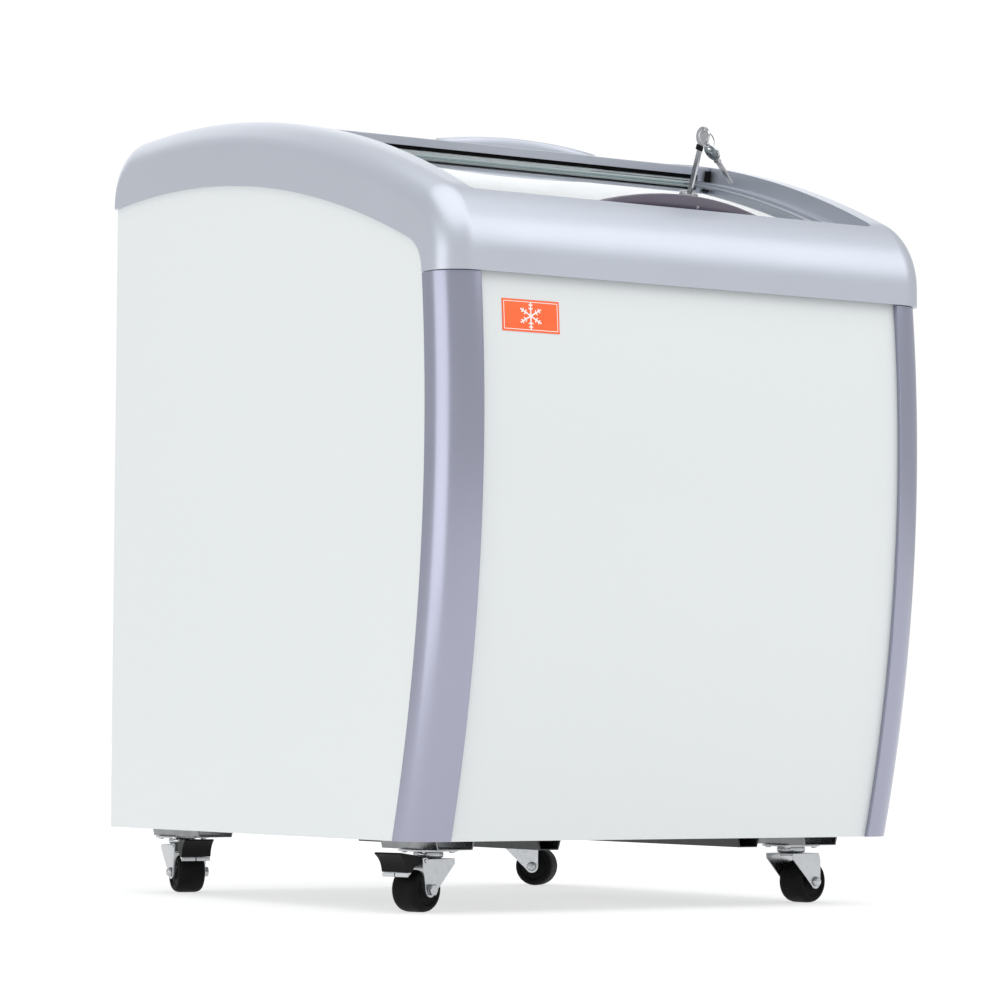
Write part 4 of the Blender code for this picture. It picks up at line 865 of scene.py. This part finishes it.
def make_rear_lid():
    side = REAR_LID_X
    bounds = (REAR_LID_BACK_DEG + REAR_BORDER_DEG, REAR_LID_FRONT_DEG - REAR_BORDER_DEG, side - REAR_BORDER_X,
              REAR_GLASS_RADIUS)
    block = arch_slab("rear_lid_surround", REAR_LID_BOTTOM_RADIUS, REAR_LID_TOP_RADIUS, REAR_LID_BACK_DEG,
                      REAR_LID_FRONT_DEG, -side, side)
    opening, rabbet = lid_cutters("rear", bounds)
    under = arch_slab("under", 1.30, 1.3285, 9.0, 13.0, -side + REAR_BORDER_X, side - REAR_BORDER_X)
    groove = arch_slab("groove", 1.3352, 1.36, 11.05, 11.16, -side - 0.01, side + 0.01, 4)
    block = cut(block, opening, rabbet, under, groove)
    piece(block, "rear_lid", "silver_plastic", "rear_lid_frame", bevel=0.0007, angle=35)
    glass_pane("rear_lid_pane", bounds, "rear_lid", "rear_lid_glass")

    half = side - 0.015
    back = SEAL_BACK_DEG
    front = SEAL_FRONT_DEG
    root = arch_slab("rear_lid_gasket", 1.3240, 1.3282, back, front, -half, half, 4)
    piece(root, "rear_lid", "black_rubber", "rear_lid_seal", weighted=False)
    lips = [arch_slab("lip", 1.3220, 1.3234, back, front, -half, half, 4)]
    lips.append(arch_slab("lip", 1.3190, 1.3210, back, front - 0.02, -half, half, 4))
    # The lips are black rubber, drawn pale: painted highlight.
    lips = join("rear_lid_gasket_lips", lips)
    piece(lips, "rear_lid", "black_rubber", finish="pale_gasket", weighted=False)
    for end in (-1, 1):
        low, high = sorted((end * 0.2365, end * 0.2415))
        degrees = (REAR_LID_FRONT_DEG + 0.01, REAR_LID_FRONT_DEG + 0.24)
        block = arch_slab("slide_block", 1.3224, 1.3340, *degrees, low, high, 4)
        piece(applied(block), "rear_lid", "black_rubber", bevel=0.0006)
    place = arch_frame(REAR_HANDLE_DEG, 0.0, REAR_LID_TOP_RADIUS + GAP)
    make_handle("rear_grip", place, REAR_HANDLE_HEIGHT, "silver_plastic", "rear_lid", "rear_lid_handle")


def make_front_lid():
    side = FRONT_LID_X
    bottom = FRONT_LID_BOTTOM_RADIUS
    top = FRONT_LID_TOP_RADIUS
    front = FRONT_LID_FRONT_DEG
    open_x = side - FRONT_BORDER_X
    bounds = (FRONT_LID_BACK_DEG + FRONT_BORDER_DEG, FRONT_LID_GLASS_DEG - 0.2, open_x, FRONT_GLASS_RADIUS)
    block = arch_slab("front_lid_surround", bottom, top, FRONT_LID_BACK_DEG, front, -side, side)
    nose = arch_slab("nose", bottom, FRONT_LID_NOSE_RADIUS, FRONT_LID_NOSE_DEG, front, -side, side, 16)
    boss = arch_slab("boss", bottom + 0.002, LOCK_BOSS_RADIUS, FRONT_LID_GLASS_DEG, FRONT_LID_NOSE_DEG + 0.2,
                     LOCK_X - LOCK_BOSS_HALF_X, LOCK_X + LOCK_BOSS_HALF_X, 8)
    block = cut(cut(block, nose, operation="UNION"), boss, operation="UNION")
    opening, rabbet = lid_cutters("front", bounds)
    hole = rod_in(arch_frame(LOCK_DEG, LOCK_X), "hole", 0.0081, (0, 0, 1.29), (0, 0, 1.36), 48)
    block = cut(block, opening, rabbet, hole)
    piece(block, "front_lid", "silver_plastic", "front_lid_frame", bevel=0.0009, segments=3, angle=35)
    glass_pane("front_lid_pane", bounds, "front_lid", "front_lid_glass")
    edge = arch_slab("front_lid_glass_edge", 1.3181, 1.3188, 11.60, 11.98, -open_x, open_x, 4)
    piece(edge, "front_lid", "glass", finish="glass_edge", weighted=False)

    place = arch_frame(FRONT_HANDLE_DEG, FRONT_HANDLE_X, FRONT_LID_NOSE_RADIUS + GAP)
    # The front grip takes the darker copy of the handle plastic: painted shade.
    make_handle("front_grip", place, FRONT_HANDLE_HEIGHT, "dark_plastic", "front_lid", "front_lid_handle")
    outward = (place.to_3x3() @ Vector((0, -1, 0))).normalized()
    at = place @ Vector((0.020, -0.0032, 0.0050))
    make_screw("front_grip_screw", at, outward, 0.0017, "front_lid", "chrome")


def make_handle(name, place, height, slot, body, node):
    """A crescent grip: a fin that is thick at its foot and thin along its crest."""
    half = HANDLE_HALF_LENGTH
    reach = (half**2 + height**2) / (2 * height)
    rings = []
    for x in spread(-half, half, 72):
        top = height - reach + math.sqrt(reach**2 - x**2) + 0.0012
        foot = 0.0035
        crest = 0.0014 + 0.0004 * min(1.0, top / height)
        half_section = [(foot, 0.0), (foot * 0.92, top * 0.35)]
        half_section += [(crest, top - crest * 0.6), (crest * 0.5, top)]
        section = [(-foot, 0.0)] + half_section + mirrored(half_section)[:-1]
        rings.append([place @ Vector((x, y, z)) for y, z in section])
    piece(sweep(name, rings), body, slot, node, angle=60)


# ---------------------------------------------------------------- lock and keys
def make_lock():
    base = arch_frame(LOCK_DEG, LOCK_X)
    profile = [(0.0056, 1.3439), (0.0058, 1.3441), (0.0078, 1.3440), (0.0090, 1.3434), (0.0096, 1.3425),
               (0.0100, 1.3400), (0.0100, 1.3296), (0.0098, 1.3293), (0.0078, 1.3293), (0.0078, 1.3060),
               (0.0056, 1.3060), (0.0056, 1.3439)]
    collar = turned("lock_collar", profile, base, 64)
    # The chrome collar takes the darker metal: painted shade.
    piece(collar, "front_lid", "chrome", "lock_barrel", "bracket_steel", angle=35)
    core = rod_in(base, "lock_plug", 0.0052, (0, 0, 1.2985), (0, 0, 1.3436), 48)
    cam = box("cam", (-0.0052, -0.0045, 1.2985), (0.0215, 0.0045, 1.3006), base)
    turned_base = base @ turn("Z", KEY_TURN_DEG)
    keyway = box("keyway", (-0.0014, -0.0034, 1.3436 - KEY_DEPTH), (0.0014, 0.0034, 1.36), turned_base)
    core = cut(core, cam, operation="UNION")
    core = cut(core, keyway)
    piece(core, "lock", "chrome", "lock_core", bevel=0.0003, angle=35)
    make_keys(turned_base)


def key_outline(blade_from, blade_to, bow_z):
    """A key in its own plane: a round bow on a blade with cuts along one edge."""
    points = arc((0.0, bow_z), KEY_BOW_RADIUS, -62, 242, 44)
    blade = 0.0030
    points += [(-blade, blade_from), (-blade, blade_to + 0.0016), (-blade * 0.4, blade_to)]
    points.append((blade * 0.4, blade_to))
    depths = (0.30, 0.62, 0.42, 0.75, 0.35, 0.58, 0.45)
    pitch = (blade_from - blade_to) * 0.62 / len(depths)
    for i, depth in enumerate(depths):
        y = blade_to + pitch * (i + 0.6)
        points += [(blade * (1 - 0.5 * depth), y), (blade * 0.96, y + pitch * 0.5)]
    points.append((blade, blade_from))
    return points


def make_keys(turned_base):
    foot = turned_base @ Matrix.Translation((0, 0, LOCK_TOP_RADIUS + GAP))
    hole_at = (0.0, KEY_LENGTH + 0.0055)
    tip = -KEY_DEPTH + 0.0012
    outline = key_outline(KEY_LENGTH - 0.0105, tip, KEY_LENGTH)
    make_key("key_in_lock", foot, outline, hole_at, (tip - 0.001, KEY_LENGTH - 0.013), "key")
    rim = [(0.0046, -0.0014), (0.0046, 0.0014), (0.0080, 0.0014), (0.0080, -0.0014), (0.0046, -0.0014)]
    head_place = foot @ Matrix.Translation((0, 0, KEY_LENGTH - 0.0012)) @ turn("Y", 90)
    piece(turned("key_bow_stamping", rim, head_place, 48), "key", "chrome", bevel=0.0002, angle=35)
    low = (-0.0018, -0.0034, KEY_LENGTH - 0.0150)
    high = (0.0018, 0.0052, KEY_LENGTH - 0.0092)
    piece(box("key_collar", low, high, foot), "key", "black_plastic", bevel=0.0010, segments=3)

    hole_place = foot @ Vector((0, *hole_at))
    sideways = foot.to_3x3() @ Vector((1, 0, 0))
    lean = (foot.to_3x3() @ Vector((0, -1, -1))).normalized()
    normal = lean.cross(sideways).normalized()
    centre = hole_place + lean * RING_RADIUS
    for name, shift, replaced in (("key_ring_outer", 0.00038, "key_ring"), ("key_ring_inner", -0.00038, ())):
        points = []
        for a in circle_angles(72):
            around = sideways * (RING_RADIUS * math.sin(a)) - lean * (RING_RADIUS * math.cos(a))
            points.append(centre + around + normal * shift)
        wire = tube(name, points, 0.00036, 8, closed=True)
        piece(wire, "key_ring", "chrome", replaced, weighted=False, angle=60)

    spare_hole = hole_place + lean * (2 * RING_RADIUS)
    slope = math.atan2(0.627, 0.779)
    place = Matrix.Translation(spare_hole) @ Matrix.Rotation(-slope, 4, "Y")
    outline = key_outline(-0.0150, -0.0440, -0.0055)
    make_key("spare_key_hanging", place, outline, (0, 0), (-0.0425, -0.0175), "spare_key")
    collar = box("spare_collar", (-0.0017, -0.0040, -0.0180), (0.0017, 0.0040, -0.0145), place)
    piece(collar, "spare_key", "chrome", bevel=0.0006)


def make_key(name, place, outline, hole_at, groove, body):
    """A flat key with its hole, and with a shallow groove along one face of its blade."""
    key = prism(name, [outline, round_hole(hole_at, KEY_HOLE_RADIUS)], "YZ", -KEY_HALF, KEY_HALF, place)
    low, high = groove
    key = cut(key, box("groove", (KEY_HALF - 0.0004, -0.0006, low), (0.003, 0.0006, high), place))
    piece(key, body, "chrome", body, bevel=0.0002, angle=35)


# ---------------------------------------------------------------- underside
def hat_outline(middle, foot, crown, top, bottom, thick):
    """A hat channel's section, with its crown hanging down."""
    left = [(middle - foot / 2 - 0.008, top), (middle - foot / 2 - 0.008, top - thick),
            (middle - foot / 2, top - thick), (middle - crown / 2, bottom)]
    right = [(2 * middle - a, b) for a, b in reversed(left)]
    inner = [(middle + foot / 2 - 2 * thick, top), (middle + crown / 2 - thick, bottom + thick),
             (middle - crown / 2 + thick, bottom + thick), (middle - foot / 2 + 2 * thick, top)]
    return left + right + inner


def make_chassis():
    """The four caster brackets and the two skids, each a hat channel along Y below the floor."""
    for name, side, y, _, _ in CASTERS:
        back = min(y + 0.055, 0.3375)
        outline = hat_outline(side * CASTER_X, 0.046, 0.040, 0.0742, 0.0605, 0.0012)
        channel = prism(f"{name}_channel", outline, "XZ", -back, -(back - 0.105))
        holes = []
        for shift in (-0.040, 0.040):
            at = Vector((side * CASTER_X, back - 0.0525 + shift, 0))
            holes.append(rod("hole", 0.0032, at + Vector((0, 0, 0.055)), at + Vector((0, 0, 0.066)), 24))
        channel = cut(channel, *holes)
        # The zinc brackets take the darker metal: painted shade.
        piece(channel, "cabinet", "zinc", f"{name}_bracket", "bracket_steel", bevel=0.0004, angle=30)
    for name, side in (("left", -1), ("right", 1)):
        outline = hat_outline(side * 0.120, 0.030, 0.022, 0.0742, 0.0600, 0.0012)
        skid = prism(f"skid_channel_{name}", outline, "XZ", -0.080, 0.270)
        piece(skid, "cabinet", "black_paint", f"skid_{name}", bevel=0.0004, angle=30)


def make_caster(name, side, y, heading, braked):
    """A swivel caster. Locally the swivel is the Z axis and the wheel trails towards +X."""
    centre = Vector((side * CASTER_X, y, 0))
    upright = Matrix.Translation(centre)
    place = upright @ turn("Z", heading)
    make_caster_plate(name, centre, upright)
    make_fork(name, place, upright, braked)
    hub = place @ Matrix.Translation((CASTER_TRAIL, 0, WHEEL_RADIUS)) @ turn("X", 90)
    make_wheel(name, hub)
    make_axle(name, hub)
    if braked:
        make_brake(name, place)


def make_caster_plate(name, centre, upright):
    """The plate, the swivel race below it and the four screws."""
    reach = 0.017
    corners = [(cx, cy) for cx in (-1, 1) for cy in (-1, 1)]
    outline = rounded_rectangle((-0.023, -0.023), (0.023, 0.023), 0.006, 8)
    holes = [round_hole((cx * reach, cy * reach), 0.0024) for cx, cy in corners]
    plate = prism(f"{name}_top_plate", [outline] + holes, "XY", 0.0584, 0.0602, upright)
    piece(plate, "cabinet", "zinc", f"{name}_caster_plate", bevel=0.0003, angle=30)
    profile = [(0.0, 0.0583), (0.0132, 0.0583), (0.0146, 0.0574), (0.0150, 0.0556), (0.0150, 0.0540),
               (0.0138, 0.0524), (0.0120, 0.0518), (0.0, 0.0518)]
    piece(turned(f"{name}_race", profile, upright, 48), "cabinet", "zinc", angle=40)
    for cx, cy in corners:
        at = centre + Vector((cx * reach, cy * reach, 0.0583))
        make_screw(f"{name}_plate_screw_{cx + 1}{cy + 1}", at, Vector((0, 0, -1)), 0.0034, "cabinet")


def cross_rod(place, name, radius, centre, reach, segments=32):
    """A rod across a caster, through (x, z), that reaches as far to both sides."""
    x, z = centre
    return rod_in(place, name, radius, (x, -reach, z), (x, reach, z), segments)


def make_fork(name, place, upright, braked):
    """The folded yoke with its bores, and the boss of the swivel on top of it."""
    swivel = name + "_swivel"
    wide = FORK_INSIDE + FORK_WALL
    outline = [(-0.0185, 0.0515), (-0.0185, 0.0462)]
    outline += arc((CASTER_TRAIL, WHEEL_RADIUS), 0.0075, 212, 355, 16)
    if braked:
        outline += [(0.0285, 0.0420), (0.0300, 0.0440), (0.0302, 0.0522), (0.0296, 0.0530), (0.0230, 0.0530)]
    else:
        outline.append((0.0255, 0.0440))
    outline.append((0.0230, 0.0515))
    fork = prism(f"{name}_yoke", outline, "XZ", -wide, wide, place)
    cutters = [box("inside", (-0.1, -FORK_INSIDE, -0.02), (0.1, FORK_INSIDE, 0.0499), place)]
    cutters.append(cross_rod(place, "bore", 0.0034, (CASTER_TRAIL, WHEEL_RADIUS), 0.03))
    if braked:
        cutters.append(box("gap", (0.0231, -FORK_INSIDE, -0.02), (0.1, FORK_INSIDE, 0.0560), place))
        cutters.append(cross_rod(place, "pin_hole", 0.0019, BRAKE_PIVOT, 0.03))
    piece(cut(fork, *cutters), swivel, "zinc", f"{name}_fork", bevel=0.0005, angle=30)
    profile = [(0.0, 0.0500), (0.0100, 0.0500), (0.0112, 0.0491), (0.0112, 0.0486), (0.0, 0.0486)]
    piece(turned(f"{name}_fork_boss", profile, upright, 32), swivel, "zinc", angle=40)


def make_wheel(name, hub):
    """The wheel as one turned ring: a hub, a dished side and a rounded tread."""
    depths = [(0.0034, 0.0), (0.0070, 0.0), (0.0078, 0.0004), (0.0084, 0.0018), (0.0094, 0.0026)]
    depths += [(0.0140, 0.0026), (0.0152, 0.0020), (0.0160, 0.0008), (0.0172, 0.0006), (0.0190, 0.0008)]
    depths += [(0.0202, 0.0018), (0.0212, 0.0034), (0.02175, 0.0056), (WHEEL_RADIUS, 0.0080)]
    half = [(radius, WHEEL_WIDTH / 2 - depth) for radius, depth in depths]
    profile = half + [(a, -b) for a, b in reversed(half)] + [half[0]]
    tyre = turned(f"{name}_tyre", profile, hub, 96)
    piece(tyre, name + "_wheel", "black_rubber", f"{name}_wheel", angle=40)


def make_axle(name, hub):
    """The bolt through the fork, with its round head and its nut."""
    reach = FORK_INSIDE + FORK_WALL + GAP
    shank = rod_in(hub, "shank", 0.0030, (0, 0, -reach - 0.004), (0, 0, reach + 0.004))
    head_profile = [(0.0, reach + 0.0042), (0.0020, reach + 0.0041), (0.0038, reach + 0.0034),
                    (0.0050, reach + 0.0018), (0.0053, reach), (0.0, reach)]
    head = turned("head", head_profile, hub, 32)
    nut_profile = [(0.0, -reach), (0.0060, -reach), (0.0060, -reach - 0.0038), (0.0052, -reach - 0.0046),
                   (0.0, -reach - 0.0046)]
    nut = turned("nut", nut_profile, hub, 6)
    bolt = join(f"{name}_axle", [shank, head, nut])
    piece(bolt, name + "_swivel", "zinc", f"{name}_axle_bolt", bevel=0.0003, angle=28)


def make_brake(name, place):
    """The pedal over the wheel, its pivot pin and the split zinc tabs under its end."""
    body = name + "_brake"
    outline = [(0.0245, 0.0482), (0.0245, 0.0514), (0.0250, 0.0520), (0.0290, 0.0535), (0.0350, 0.0552),
               (0.0608, 0.0585), (0.0618, 0.0580), (0.0620, 0.0566)]
    outline += [(0.0594, 0.0550), (0.0572, 0.0531), (0.0550, 0.0506), (0.0535, 0.0483), (0.0524, 0.0458),
                (0.0516, 0.0432), (0.0511, 0.0405), (0.0506, 0.0392)]
    outline += [(0.0442, 0.0390), (0.0428, 0.0406), (0.0402, 0.0440)]
    half = FORK_INSIDE - 0.0006
    pedal = prism(f"{name}_pedal", outline, "XZ", -half, half, place)
    ribs = []
    for i in range(5):
        x = 0.0385 + 0.0042 * i
        z = 0.0552 + (x - 0.0350) * (0.0033 / 0.0258)
        low = (x, -half + 0.0015, z - 0.0006)
        ribs.append(box("rib", low, (x + 0.0012, half - 0.0015, z + 0.003), place))
    piece(cut(pedal, *ribs), body, "black_plastic", f"{name}_brake_pedal", bevel=0.0007, segments=3, angle=30)
    pin = cross_rod(place, f"{name}_brake_pin", 0.0016, BRAKE_PIVOT, FORK_INSIDE + FORK_WALL + 0.0008, 24)
    piece(pin, body, "zinc", bevel=0.0003)
    section = [(0.0446, 0.0388), (0.0502, 0.0388), (0.0506, 0.0372), (0.0502, 0.0348), (0.0492, 0.0346),
               (0.0480, 0.0362), (0.0466, 0.0371), (0.0450, 0.0378)]
    for end, low, high in (("inner", -half + 0.0006, -0.0006), ("outer", 0.0006, half - 0.0006)):
        tab = prism(f"{name}_brake_tab_{end}", section, "XZ", low, high, place)
        piece(tab, body, "zinc", bevel=0.0004, angle=30)


# ---------------------------------------------------------------- CAD nodes that stay
def finish_cad_nodes():
    """Gives every CAD node that still shows the material of its slot."""
    slots = {row["node"]: row["material_slot"] for row in frame["record"]["subparts"]}
    for name, node in NODES.items():
        if node.hide_render:
            continue
        node.data.materials.clear()
        node.data.materials.append(MATERIALS[slots[name]])


# ---------------------------------------------------------------- studio
def make_studio():
    """A pale floor that runs out of sight, a white surround, and soft lamps to the left, above and behind."""
    floor_material, tree, shader = new_material("studio_floor", (0.40, 0.40, 0.40), 0.9, 0.0, 0.0, 0.0)
    vary(tree, shader, "Base Color", noise(tree, 1.5), (0.395,) * 3, (0.405,) * 3)
    shader.inputs["Emission Color"].default_value = (1.0, 1.0, 1.0, 1.0)
    shader.inputs["Emission Strength"].default_value = FLOOR_GLOW
    floor = link(box("studio_floor", (-60.0, -30.0, -0.01), (60.0, 90.0, 0.0)))
    floor.data.materials.append(floor_material)

    world = bpy.data.worlds.new("studio")
    bpy.context.scene.world = world
    world.use_nodes = True
    nodes = world.node_tree.nodes
    links = world.node_tree.links
    surround = nodes["Background"]
    surround.inputs["Color"].default_value = (*SURROUND_COLOUR, 1.0)
    surround.inputs["Strength"].default_value = SURROUND_LIGHT
    backdrop = nodes.new("ShaderNodeBackground")
    backdrop.inputs["Color"].default_value = (1.0, 1.0, 1.0, 1.0)
    backdrop.inputs["Strength"].default_value = 1.02
    rays = nodes.new("ShaderNodeLightPath")
    mix = nodes.new("ShaderNodeMixShader")
    links.new(rays.outputs["Is Camera Ray"], mix.inputs["Fac"])
    links.new(surround.outputs["Background"], mix.inputs[1])
    links.new(backdrop.outputs["Background"], mix.inputs[2])
    links.new(mix.outputs["Shader"], nodes["World Output"].inputs["Surface"])

    for name, place, target, width, height, brightness in LAMPS:
        lamp = bpy.data.lights.new(name, "AREA")
        lamp.shape = "RECTANGLE"
        lamp.size = width
        lamp.size_y = height
        lamp.energy = brightness * math.pi * width * height
        obj = link(bpy.data.objects.new(name, lamp))
        direction = Vector(target) - Vector(place)
        obj.matrix_world = Matrix.Translation(place) @ direction.to_track_quat("-Z", "Y").to_matrix().to_4x4()
    ceiling = bpy.data.lights.new("ceiling", "SUN")
    ceiling.angle = math.radians(80)
    ceiling.energy = CEILING_LIGHT
    obj = link(bpy.data.objects.new("ceiling", ceiling))
    obj.matrix_world = turn("X", 12) @ turn("Y", -8)


def make_camera():
    data = bpy.data.cameras.new("camera")
    data.lens = 134.73
    data.sensor_width = 36.0
    data.clip_start = 0.1
    data.clip_end = 60.0
    camera = link(bpy.data.objects.new("camera", data))
    aim = turn("Z", -32.327) @ turn("X", 90 + 3.622) @ turn("Z", 0.296)
    camera.matrix_world = Matrix.Translation((-2.1203, -3.3382, 0.1699)) @ aim
    bpy.context.scene.camera = camera


make_camera()
make_studio()
make_top_frame()
make_side_panels()
make_pillars()
make_front_panel()
make_back_panel()
make_label()
make_grille()
make_liner()
make_rear_lid()
make_front_lid()
make_lock()
make_chassis()
for caster in CASTERS:
    make_caster(*caster)
finish_cad_nodes()
bpy.context.scene.view_settings.view_transform = "Standard"
